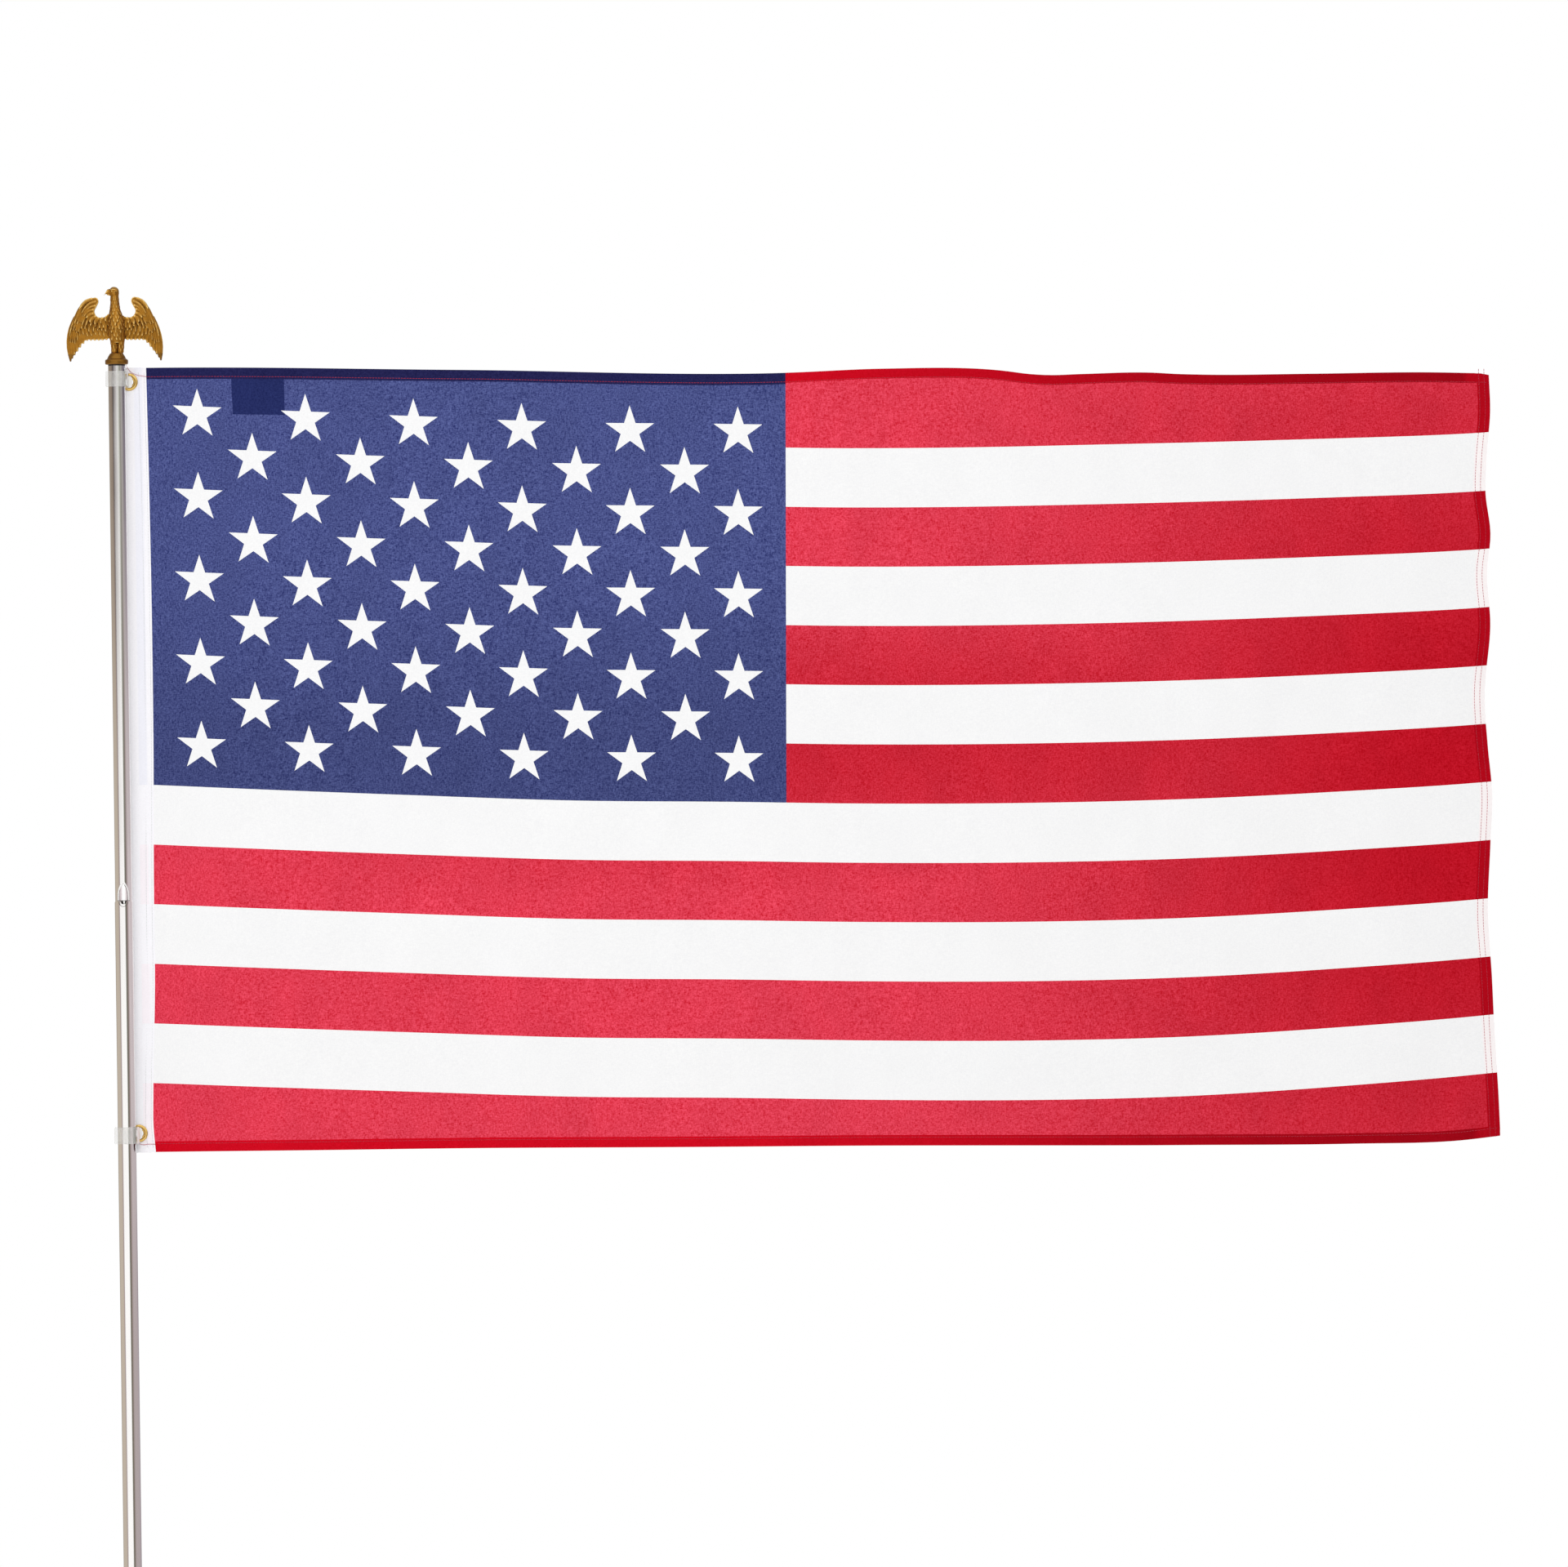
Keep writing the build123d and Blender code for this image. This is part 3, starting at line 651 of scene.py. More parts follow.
def field_lines(stars):
    """Every line where the field changes colour or thickness."""
    lines = []
    end = 1530.0
    for k in range(1, STRIPES):
        start = 700.0 if k < CANTON_STRIPES else FIELD_START
        xs = [x for x in spaced(start, end, 11) if k >= CANTON_STRIPES or x > canton_edge(seam(k, x))]
        if k < CANTON_STRIPES:
            first = canton_edge(seam(k, 740.0))
            xs = [first] + [x for x in xs if x > first + 3]
        xs = [x for x in xs if x < fly_edge(seam(k, x)) - 2]
        xs.append(float(fly_edge(seam(k, end))))
        lines.append([(x, seam(k, x)) for x in xs])
    depths = spaced(top_edge(743), seam(CANTON_STRIPES, 738), 9)
    lines.append([(canton_edge(d), d) for d in depths])
    lines.append([(x, top_edge(x) + TOP_HEM_NAVY) for x in spaced(FIELD_START, 743.2, 11)])
    lines.append([(x, top_edge(x) + TOP_HEM_RED) for x in spaced(743.3, 1526, 11)])
    lines.append([(x, foot_edge(x) - FOOT_HEM) for x in spaced(FIELD_START, 1526, 11)])
    lines.append([(fly_edge(d) - FLY_HEM, d) for d in spaced(31, 878, 9)])
    label = label_corners()
    lines.append(label + label[:1])
    lines += [star + star[:1] for star in stars]
    return lines


def solid_sheet(piece, thickness, offset=-1.0, sharp_angle=35):
    """Thickens an open sheet into a closed one, backwards from its faces unless offset is 1."""
    solidify = piece.modifiers.new("thickness", "SOLIDIFY")
    solidify.thickness = thickness * MM
    solidify.offset = offset
    apply_modifiers(piece, sharp_angle)


def flag_field(cloths):
    """The printed field: stripes, canton, stars and hems as faces of one woven sheet."""
    stars = [star_outline(x, depth) for x, depth in star_centres()]
    top = [(x, top_edge(x)) for x in spaced(FIELD_START, 1526, 9)]
    fly = [(fly_edge(d), d) for d in spaced(31, 878, 8)]
    foot = [(x, foot_edge(x)) for x in spaced(1527, FIELD_START, 9)]
    hoist = [(FIELD_START, d) for d in spaced(876, 3, 9)]
    top[-1] = fly[0]
    fly[-1] = foot[0]
    grid = [
        (x, d)
        for x in spaced(FIELD_START + 6, 1520, 8)
        for d in spaced(8, 880, 8)
        if top_edge(x) + 3 < d < foot_edge(x) - 3 and x < fly_edge(d) - 3
    ]
    for (x0, d0), (x1, d1), half_width, _ in CREASES:
        run = math.hypot(x1 - x0, d1 - d0)
        nx, nd = (d1 - d0) / run, -(x1 - x0) / run
        for along in np.arange(0, run, 4.0):
            for off in (-1.1, -0.45, 0.2, 0.85):
                share = along / run
                grid.append((x0 + (x1 - x0) * share + nx * off * half_width,
                             d0 + (d1 - d0) * share + nd * off * half_width))
    points, faces = triangulate(closed_loop(top, fly, foot, hoist), field_lines(stars), grid, 3.0)
    places = np.column_stack(on_cloth(points[:, 0], points[:, 1]))
    mesh = mesh_from("flag_field_cloth", places, [face[::-1] for face in faces])
    piece = add_object("flag_field_cloth", mesh, "flag", [cloths[name] for name in CLOTH_SLOTS])
    label = label_corners()
    for polygon in mesh.polygons:
        x, depth = points[list(polygon.vertices)].mean(axis=0)
        kind = field_kind(x, depth)
        if kind == "navy" and any(abs(x - c[0][0]) < STAR_R and inside(c, x, depth) for c in stars):
            kind = "white"
        elif kind == "navy" and inside(label, x, depth):
            kind = "navy_label"
        polygon.material_index = CLOTH_SLOTS.index(kind)
    solid_sheet(piece, 0.4)
    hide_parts("flag_field")
    return piece


def strip_along(name, cloths, centre, half_width, step_points, back, thickness):
    """A folded hem behind the cloth; centre(s) gives a point on it and the unit direction across."""
    points, kinds = [], []
    rows = (-1.0, -0.6, 0.0, 0.6, 1.0)
    for s in step_points:
        (x, depth), (ax, ad) = centre(s)
        for row in rows:
            px, pd = x + ax * row * half_width, depth + ad * row * half_width
            bulge = 0.25 * (1 - row ** 4)
            points.append(on_cloth(px, pd, back + bulge))
        kinds.append(field_kind(x, depth))
    width = len(rows)
    mesh = mesh_from(name, points, quads(len(step_points), width))
    piece = add_object(name, mesh, "flag", [cloths[kind] for kind in CLOTH_SLOTS])
    for i, polygon in enumerate(mesh.polygons):
        kind = kinds[i // (width - 1)].replace("_hem", "") + "_hem"
        polygon.material_index = CLOTH_SLOTS.index(kind)
    if mesh.polygons[0].normal.y < 0:
        mesh.flip_normals()
    solid_sheet(piece, thickness, offset=1.0, sharp_angle=40)
    return piece


def flag_hems(cloths):
    """Turned hems on the back of the top, foot and fly edges."""
    xs = spaced(34, 1511, 8)

    def along_top(x):
        width = TOP_HEM_NAVY if x < 743 else TOP_HEM_RED
        return (x, top_edge(x) + width / 2), (0, 1)

    def along_foot(x):
        return (x, foot_edge(x) - FOOT_HEM / 2), (0, 1)

    def along_fly(depth):
        return (fly_edge(depth) - FLY_HEM / 2, depth), (1, 0)

    return [
        strip_along("top_hem", cloths, along_top, 5.6, xs, 0.45, 0.5),
        strip_along("foot_hem", cloths, along_foot, 5.7, xs, 0.45, 0.5),
        strip_along("fly_hem", cloths, along_fly, 6.6, spaced(31.5, 877.5, 7), 0.45, 0.6),
    ]


STITCH_LENGTH = 2.7
STITCH_GAP = 0.5
STITCH_WIDTH = 0.55


def stitch_row(name, material, line, back):
    """A row of short sewn stitches along line(t) for t from 0 to 1, each a small tapered bead."""
    samples = np.array([line(t) for t in np.linspace(0, 1, 400)])
    travelled = np.concatenate([[0], np.cumsum(np.hypot(*np.diff(samples, axis=0).T))])
    outward = 1 if back > 0 else -1
    points, faces = [], []
    at = 0.0
    while at + STITCH_LENGTH < travelled[-1]:
        ends = [np.array([np.interp(s, travelled, samples[:, k]) for k in (0, 1)])
                for s in (at, at + STITCH_LENGTH)]
        run = (ends[1] - ends[0]) / STITCH_LENGTH
        across = np.array([-run[1], run[0]])
        first = len(points)
        for share, wide, proud in ((0.0, 0.35, 0.1), (0.25, 1.0, 1.0), (0.75, 1.0, 1.0), (1.0, 0.35, 0.1)):
            centre = ends[0] + run * STITCH_LENGTH * share
            for side, lift in ((-1, 0.0), (0, 1.0), (1, 0.0), (0, -0.6)):
                px, pd = centre + across * side * wide * STITCH_WIDTH / 2
                points.append(on_cloth(px, pd, back + outward * lift * proud * STITCH_WIDTH * 0.55))
        faces += quads(4, 4, wrap=True, first=first)
        faces.append(tuple(first + i for i in range(4))[::-1])
        faces.append(tuple(first + 12 + i for i in range(4)))
        at += STITCH_LENGTH + STITCH_GAP
    mesh = mesh_from(name, points, faces)
    bm = bmesh.new()
    bm.from_mesh(mesh)
    bmesh.ops.recalc_face_normals(bm, faces=bm.faces)
    bm.to_mesh(mesh)
    bm.free()
    return add_object(name, mesh, "flag", [material])


def between(start, end):
    return lambda t: start + (end - start) * t


def flag_stitching(red_thread):
    """Rows of stitches on the front and the back of the hems."""
    across = between(33.5, 1524.0)
    down = between(16.0, 874.0)
    rows = {
        "top": lambda t: (across(t), top_edge(across(t)) + 10.0),
        "foot": lambda t: (across(t), foot_edge(across(t)) - 9.2),
        "fly_inner": lambda t: (fly_edge(down(t) + 8) - 11.4, down(t) + 8),
        "fly_outer": lambda t: (fly_edge(down(t) + 8) - 5.4, down(t) + 8),
    }
    pieces = []
    for name, line in rows.items():
        pieces.append(stitch_row(name + "_stitches_front", red_thread, line, -0.02))
        pieces.append(stitch_row(name + "_stitches_back", red_thread, line, 1.25))
    return pieces


def flag_label(cloths):
    """The blank label on the back of the canton."""
    corners = label_corners()
    points, faces = [], []
    count_x, count_z = 9, 7
    for j in range(count_z):
        for i in range(count_x):
            u, v = i / (count_x - 1), j / (count_z - 1)
            top = np.array(corners[0]) * (1 - u) + np.array(corners[1]) * u
            low = np.array(corners[3]) * (1 - u) + np.array(corners[2]) * u
            x, depth = top * (1 - v) + low * v
            lift = 0.5 + 0.9 * v * v * (0.4 + u)
            points.append(on_cloth(x, depth - 2 * (1 - v), lift + 0.5 * (1 - v)))
    for j in range(count_z - 1):
        for i in range(count_x - 1):
            a = j * count_x + i
            faces.append((a, a + count_x, a + count_x + 1, a + 1))
    mesh = mesh_from("back_label", points, faces)
    piece = add_object("back_label", mesh, "flag", [cloths["label"]])
    if mesh.polygons[0].normal.y > 0:
        mesh.flip_normals()
    solid_sheet(piece, 0.3)
    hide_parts("care_label")
    return piece


# ---- heading, grommets and threads --------------------------------------------------------------
HEADING_LEFT = 1.5
HEADING_THICKNESS = 1.2
GROMMET_X = 12.6
GROMMET_DEPTHS = {"upper": 18.6, "lower": 855.0}
EYELET_CUT_R = 5.4


def heading_relief(x, depth):
    """Slight upright ripples in the heading, flat where the grommets clamp it."""
    calm = 1.0
    for grommet_depth in GROMMET_DEPTHS.values():
        calm = calm * ease(np.hypot(x - GROMMET_X, depth - grommet_depth), 10, 26)
    ripple = 0.16 * np.sin(x / 1.9 + depth / 170) + 0.22 * np.sin(depth / 43 + 0.5)
    return calm * ripple * ease(32 - x, 0, 4)


def flag_heading(cloths):
    """The folded canvas strip at the hoist, with holes where the grommets pass."""
    def circle(depth):
        turns = np.linspace(0, 2 * math.pi, 25)
        return [(GROMMET_X + EYELET_CUT_R * math.cos(a), depth + EYELET_CUT_R * math.sin(a)) for a in turns]

    top = [(x, 2.6) for x in spaced(HEADING_LEFT, 31.6, 2.5)]
    right = [(hoist_edge(d), d) for d in spaced(3, 876, 6)]
    foot = [(x, 876.4) for x in spaced(31.0, HEADING_LEFT, 2.5)]
    left = [(HEADING_LEFT, d) for d in spaced(876.4, 2.6, 6)]
    top[-1] = right[0]
    right[-1] = foot[0]
    holes = [circle(depth) for depth in GROMMET_DEPTHS.values()]
    grid = [
        (x, d)
        for x in spaced(HEADING_LEFT + 1.3, 34, 1.6)
        for d in spaced(5, 874, 6)
        if x < hoist_edge(d) - 1.2
        and all(math.hypot(x - GROMMET_X, d - z) > EYELET_CUT_R + 0.6 for z in GROMMET_DEPTHS.values())
    ]
    points, faces = triangulate(closed_loop(top, right, foot, left), holes, grid, 0.7)
    faces = [
        face[::-1]
        for face in faces
        if all(math.hypot(*(points[list(face)].mean(axis=0) - (GROMMET_X, z))) > EYELET_CUT_R - 0.05
               for z in GROMMET_DEPTHS.values())
    ]
    xs, depths = points.T
    folded = 0.5 * (1 - ease(xs, HEADING_LEFT, HEADING_LEFT + 1.2))
    fronts = CLOTH_FRONT + (heading_relief(xs, depths) + folded) * MM
    places = np.column_stack([xs * MM, fronts, DATUM - depths * MM])
    mesh = mesh_from("heading_strip", places, faces)
    piece = add_object("heading_strip", mesh, "flag", [cloths["heading"]])
    solid_sheet(piece, HEADING_THICKNESS)
    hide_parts("flag_heading")
    return piece


def heading_stitching(white_thread):
    """Two upright rows that close the heading over the field's raw edge."""
    pieces = []
    for number, inset in enumerate((2.2, 8.5)):
        def line(t, inset=inset):
            depth = 8.0 + 864.0 * t
            return hoist_edge(depth) - inset, depth
        pieces.append(stitch_row(f"heading_stitches_{number}", white_thread, line, -0.42))
    return pieces


def thread_tail(name, material, points, radius=0.22):
    """A loose end of sewing thread; points are (x, depth, millimetres before the cloth)."""
    curve = bpy.data.curves.new(name, "CURVE")
    curve.dimensions = "3D"
    curve.bevel_depth = radius * MM
    curve.bevel_resolution = 2
    curve.use_fill_caps = True
    spline = curve.splines.new("NURBS")
    spline.points.add(len(points) - 1)
    for point, (x, depth, proud) in zip(spline.points, points):
        point.co = (x * MM, CLOTH_FRONT - proud * MM, DATUM - depth * MM, 1)
    spline.order_u = 3
    spline.use_endpoint_u = True
    return add_object(name, curve, "flag", [material])


def rolled_grommet(place, brass):
    """A brass eyelet with a rolled front rim, a dished throat and a barrel through the heading."""
    roll = [(8.0 + 1.75 * math.cos(a), 1.0 + 1.0 * math.sin(a)) for a in np.linspace(-0.5, math.pi + 0.3, 12)]
    throat = [(5.9, 0.55), (5.2, 0.9), (4.75, 0.4)]
    barrel = [(4.6, -0.6), (4.6, -2.3), (5.3, -2.3), (5.4, -0.3)]
    points, faces = lathe([(r * MM, z * MM) for r, z in roll + throat + barrel], 48)
    turn = Matrix.Rotation(math.radians(90), 4, "X")
    centre = Vector((GROMMET_X * MM, CLOTH_FRONT, DATUM - GROMMET_DEPTHS[place] * MM))
    points = [turn @ Vector(p) + centre for p in points]
    mesh = mesh_from(place + "_eyelet", points, faces)
    mesh.set_sharp_from_angle(angle=math.radians(50))
    piece = add_object(place + "_eyelet", mesh, "flag", [brass])
    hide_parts(place + "_grommet")
    return piece


# ---- eagle --------------------------------------------------------------------------------------
WING_SWEEP = math.tan(math.radians(12.0))
LEGS = ((-2.1, -0.4), (4.5, 0.4))    # x of each foot, and how far its leg leans for each 8 mm up


def ring_loft(bm, stations, segments=28):
    """Adds a closed loft of ellipses; each station is (centre, half width, half depth, tilt in degrees)."""
    rings = []
    for (x, y, z), half_width, half_depth, tilt in stations:
        turn = Matrix.Rotation(math.radians(tilt), 3, "Y")
        ring = []
        for s in range(segments):
            a = 2 * math.pi * s / segments
            offset = turn @ Vector((half_width * math.cos(a), half_depth * math.sin(a), 0))
            ring.append(bm.verts.new(Vector((x, y, z)) + offset))
        rings.append(ring)
    for low, high in zip(rings, rings[1:]):
        for s in range(segments):
            t = (s + 1) % segments
            bm.faces.new((low[s], low[t], high[t], high[s]))
    bm.faces.new(rings[0][::-1])
    bm.faces.new(rings[-1])


def feather(bm, line, outward, width, thick):
    """Adds one feather: a pointed leaf with a raised quill. line holds points along it, root first."""
    count = len(line)
    top, low = [], []
    for i, point in enumerate(line):
        t = i / (count - 1)
        ahead = line[min(i + 1, count - 1)] - line[max(i - 1, 0)]
        across = ahead.cross(outward).normalized()
        half = width / 2 * (0.75 + 0.25 * math.sin(math.pi * t)) * math.sqrt(max(0.12, 1 - t ** 7))
        rise = thick * (0.35 + 0.65 * t)
        top.append([bm.verts.new(point + across * half * s + outward * (rise * h))
                    for s, h in ((-1, 0.15), (-0.55, 0.75), (0, 1.0), (0.55, 0.75), (1, 0.15))])
        low.append([bm.verts.new(point + across * half * s - outward * thick * 0.8) for s in (-1, 1)])
    for i in range(count - 1):
        for j in range(4):
            bm.faces.new((top[i][j], top[i][j + 1], top[i + 1][j + 1], top[i + 1][j]))
        bm.faces.new((low[i][0], low[i + 1][0], low[i + 1][1], low[i][1]))
        bm.faces.new((top[i][0], top[i + 1][0], low[i + 1][0], low[i][0]))
        bm.faces.new((top[i][4], low[i][1], low[i + 1][1], top[i + 1][4]))
    for i, order in ((0, 1), (count - 1, -1)):
        bm.faces.new((top[i][0], low[i][0], low[i][1], top[i][4], top[i][3], top[i][2], top[i][1])[::order])


def wing_flow(side):
    """Lines that the wing's feathers follow: place(u, t), u from the outer feather to the innermost."""
    root_x = through((0, -27.8), (0.07, -24.2), (0.14, -22.2), (0.3, -24), (0.42, -26), (0.55, -23.8),
                     (0.7, -18.8), (0.85, -12.5), (1.0, -7))
    root_z = through((0, 73.4), (0.07, 73.6), (0.14, 70.6), (0.3, 64), (0.42, 59.5), (0.55, 54.3),
                     (0.7, 51.8), (0.85, 52.6), (1.0, 56))
    tip_x = through((0, -52.2), (0.1, -50.2), (0.2, -47), (0.3, -43), (0.4, -38.6), (0.5, -33.6),
                    (0.62, -27.5), (0.75, -20.5), (0.88, -14), (1.0, -8))
    tip_z = through((0, 3.6), (0.1, 7.4), (0.2, 12), (0.3, 16.8), (0.4, 22), (0.5, 26.6), (0.62, 27.2),
                    (0.75, 27.2), (0.88, 27.4), (1.0, 28))
    bow = through((0, 11.4), (0.25, 9.4), (0.5, 6.5), (0.75, 3), (1.0, 1))
    arc = through((-0.1, -0.5), (0, 0), (0.05, 0.42), (0.135, 0.74), (0.355, 0.985), (0.575, 1.0),
                  (0.76, 0.72), (1, 0))
    fullness = 1.0 if side < 0 else 0.74

    def place(u, t):
        root = np.array([root_x(u), root_z(u)])
        tip = np.array([tip_x(u), tip_z(u)])
        run = tip - root
        normal = np.array([run[1], -run[0]]) / np.hypot(*run)
        x, z = root + run * t + normal * bow(u) * fullness * arc(t)
        depth = (abs(x) - 4) * WING_SWEEP + 1.5
        return Vector((x if side < 0 else -x - 3.2, depth, z))

    return place


def add_wing(bm, side):
    """A wing plate with rows of feathers on both faces, longest at the trailing edge."""
    flow = wing_flow(side)
    columns, rows = 22, 12
    for face in (-1, 1):
        outward = Vector((0, face, 0))
        for row, (start, end, count, width, lift) in enumerate((
            (0.34, 1.00, 12, 6.2, 1.4),
            (0.20, 0.84, 12, 5.0, 2.1),
            (0.10, 0.66, 12, 4.4, 2.8),
            (0.04, 0.48, 11, 4.0, 3.4),
            (0.00, 0.30, 9, 3.8, 3.9),
        )):
            for i in range(count):
                u = (i + 0.25 + 0.5 * (row % 2)) / count
                spread = 1.0 + 0.25 * math.sin(7.1 * i + 2.3 * row)
                last = end - 0.045 * (1 + math.sin(4.7 * i + 1.9 * row)) * (end < 1)
                first = start + 0.05 * math.sin(3.3 * i + 5.1 * row) * (start > 0)
                line = [flow(u, first + (last - first) * k / 7) + outward * (lift - 1.1) for k in range(8)]
                feather(bm, line, outward, width * spread, 1.35)
    front, back = [], []
    for i in range(columns):
        u = i / (columns - 1)
        for layer, face in ((front, -1), (back, 1)):
            line = []
            for k in range(rows):
                t = -0.03 + 0.99 * k / (rows - 1)
                thick = 2.6 - 1.5 * t
                line.append(bm.verts.new(flow(u, t) + Vector((0, face * thick, 0))))
            layer.append(line)
    for i in range(columns - 1):
        for k in range(rows - 1):
            bm.faces.new((front[i][k], front[i + 1][k], front[i + 1][k + 1], front[i][k + 1]))
            bm.faces.new((back[i][k], back[i][k + 1], back[i + 1][k + 1], back[i + 1][k]))
        bm.faces.new((front[i][0], back[i][0], back[i + 1][0], front[i + 1][0]))
        bm.faces.new((front[i][-1], front[i + 1][-1], back[i + 1][-1], back[i][-1]))
    for k in range(rows - 1):
        bm.faces.new((front[0][k], front[0][k + 1], back[0][k + 1], back[0][k]))
        bm.faces.new((front[-1][k], back[-1][k], back[-1][k + 1], front[-1][k + 1]))


def add_plumage(bm, centre, half_width, half_depth, z_range, rows, per_row, length, width, thick):
    """Small overlapping feathers round a column; centre and the halves are functions of height."""
    low, high = z_range
    for row in range(rows):
        z = high - (high - low) * row / (rows - 1)
        for i in range(per_row):
            a = 2 * math.pi * (i + 0.5 * (row % 2)) / per_row + 0.12 * math.sin(5 * row + 3 * i)
            line = []
            for k in range(5):
                down = z - length * k / 4
                x = centre(down) + half_width(down) * math.cos(a)
                y = half_depth(down) * math.sin(a)
                line.append(Vector((x, y, down)))
            outward = Vector((math.cos(a) / half_width(z), math.sin(a) / half_depth(z), 0)).normalized()
            feather(bm, line, outward, width, thick)


def add_eagle_body(bm):
    """Legs, trunk, neck, head and hooked beak, with plumage."""
    centre = through((12, 1.2), (20, 1.0), (28, 0.3), (45, 0.0), (56, -0.6), (66, -1.1), (76, -1.3),
                     (82, -1.2))
    half_width = through((12, 6.2), (20, 5.9), (28, 7.4), (38, 8.6), (48, 8.2), (56, 6.6), (62, 5.1),
                         (68, 4.3), (76, 4.0), (82, 4.1))
    half_depth = through((12, 4.6), (20, 5.0), (28, 7.0), (38, 9.2), (48, 8.8), (56, 7.0), (62, 5.3),
                         (68, 4.6), (76, 4.2), (82, 4.3))
    heights = [24, 28, 33, 38, 43, 48, 52, 56, 60, 64, 70, 76, 80]
    ring_loft(bm, [((centre(z), 0, z), half_width(z), half_depth(z), 0) for z in heights])
    for leg_x, lean in LEGS:
        legs = [((leg_x + lean * (z - 20) / 8, 0, z), r, r * 1.15, 0)
                for z, r in ((11, 3.2), (15, 3.3), (20, 3.7), (25, 4.4), (30, 4.8), (35, 4.5))]
        ring_loft(bm, legs, 16)
    add_plumage(bm, centre, half_width, half_depth, (34, 78), 12, 10, 7.0, 3.6, 1.15)
    for leg_x, _ in LEGS:
        add_plumage(bm, lambda z, c=leg_x: c,
                    lambda z: 2.9 + 0.08 * (z - 12), lambda z: 3.3 + 0.09 * (z - 12),
                    (20, 34), 4, 7, 7.0, 2.6, 1.0)
        for toe in (-24, 0, 24):
            turn = math.radians(toe)
            claw = [((leg_x + 5.6 * k / 4 * math.sin(turn), -2.0 - 5.2 * k / 4 * math.cos(turn),
                      13.4 - 0.32 * k * k * 0.6), 1.35 - 0.16 * k, 1.2 - 0.14 * k, 90) for k in range(5)]
            ring_loft(bm, claw, 10)
    head = [((-1.0, 0, 76.0), 4.3, 4.3, 0), ((-1.4, 0, 78.5), 5.1, 4.8, -4),
            ((-1.8, 0, 81.2), 5.5, 5.0, -6), ((-2.0, 0, 83.6), 4.9, 4.4, -6),
            ((-2.2, 0, 85.5), 3.3, 3.0, -4), ((-2.3, 0, 86.4), 1.2, 1.1, 0)]
    ring_loft(bm, head, 24)
    beak = [((-4.5, 0, 81.0), 3.3, 2.9, -90), ((-7.6, 0, 81.2), 3.0, 2.4, -90),
            ((-10.0, 0, 81.0), 2.6, 2.0, -80), ((-11.6, 0, 79.9), 2.5, 1.8, -58),
            ((-12.5, 0, 78.5), 1.6, 1.3, -40), ((-12.9, 0, 77.3), 0.7, 0.7, -25)]
    ring_loft(bm, beak, 16)
    lower_beak = [((-5.0, 0, 78.1), 1.5, 2.2, -90), ((-7.6, 0, 77.9), 1.2, 1.7, -90),
                  ((-9.8, 0, 78.1), 0.8, 1.1, -90)]
    ring_loft(bm, lower_beak, 12)
    for side in (-1, 1):
        brow = [((-6.2, side * 3.0, 82.9), 0.5, 0.6, -90), ((-3.6, side * 4.2, 83.5), 0.8, 0.9, -90),
                ((-0.6, side * 4.4, 83.2), 0.4, 0.5, -90)]
        ring_loft(bm, brow, 10)
        bmesh.ops.create_uvsphere(bm, u_segments=14, v_segments=10, radius=1.15,
                                  matrix=Matrix.Translation((-3.9, side * 3.9, 81.6)))


def add_finial_foot(bm):
    """The smooth flange and dome."""
    profile = [(0.01, 0), (11.9, 0), (12.6, 0.5), (12.8, 1.4), (12.8, 4.3), (12.5, 5.2), (11.6, 5.7),
               (10.7, 6.0), (10.2, 7.0), (9.2, 9.2), (8.1, 11.0), (7.2, 12.2), (5.5, 13.0),
               (0.01, 13.2)]
    points, faces = lathe(profile, 72)
    made = [bm.verts.new(p) for p in points]
    for face in faces:
        bm.faces.new([made[i] for i in face])


def recess_attribute(mesh):
    """Stores how deep each point lies against its smoothed surroundings, 0.5 being level."""
    count = len(mesh.vertices)
    places = np.zeros(count * 3)
    mesh.vertices.foreach_get("co", places)
    places = places.reshape(-1, 3)
    normals = np.zeros(count * 3)
    mesh.vertices.foreach_get("normal", normals)
    edges = np.zeros(len(mesh.edges) * 2, int)
    mesh.edges.foreach_get("vertices", edges)
    a, b = edges.reshape(-1, 2).T
    degree = np.bincount(a, minlength=count) + np.bincount(b, minlength=count)
    smooth = places.copy()
    for _ in range(24):
        total = np.zeros_like(smooth)
        for axis in range(3):
            total[:, axis] = np.bincount(a, smooth[b, axis], count) + np.bincount(b, smooth[a, axis], count)
        smooth = 0.4 * smooth + 0.6 * total / degree[:, None]
    depth = ((smooth - places) * normals.reshape(-1, 3)).sum(axis=1) / MM
    attribute = mesh.attributes.new("recess", "FLOAT", "POINT")
    attribute.data.foreach_set("value", np.clip(0.5 + depth * 0.9, 0, 1).astype(np.float32))


def eagle_finial():
    """The whole casting: every form joined into one skin by a voxel remesh."""
    bm = bmesh.new()
    add_eagle_body(bm)
    add_wing(bm, -1)
    add_wing(bm, 1)
    add_finial_foot(bm)
    bmesh.ops.recalc_face_normals(bm, faces=bm.faces)
    mesh = bpy.data.meshes.new("eagle_casting")
    bm.to_mesh(mesh)
    bm.free()
    mesh.transform(Matrix.Translation((0, 0, EAGLE_FOOT)) @ Matrix.Scale(MM, 4))
    piece = add_object("eagle_casting", mesh, "finial", [gold_casting()])
    remesh = piece.modifiers.new("skin", "REMESH")
    remesh.mode = "VOXEL"
    remesh.voxel_size = 0.45 * MM
    soften = piece.modifiers.new("soften", "SMOOTH")
    soften.factor = 0.5
    soften.iterations = 2
    apply_modifiers(piece)
    piece.data.shade_smooth()
    recess_attribute(piece.data)
    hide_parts("eagle_finial")


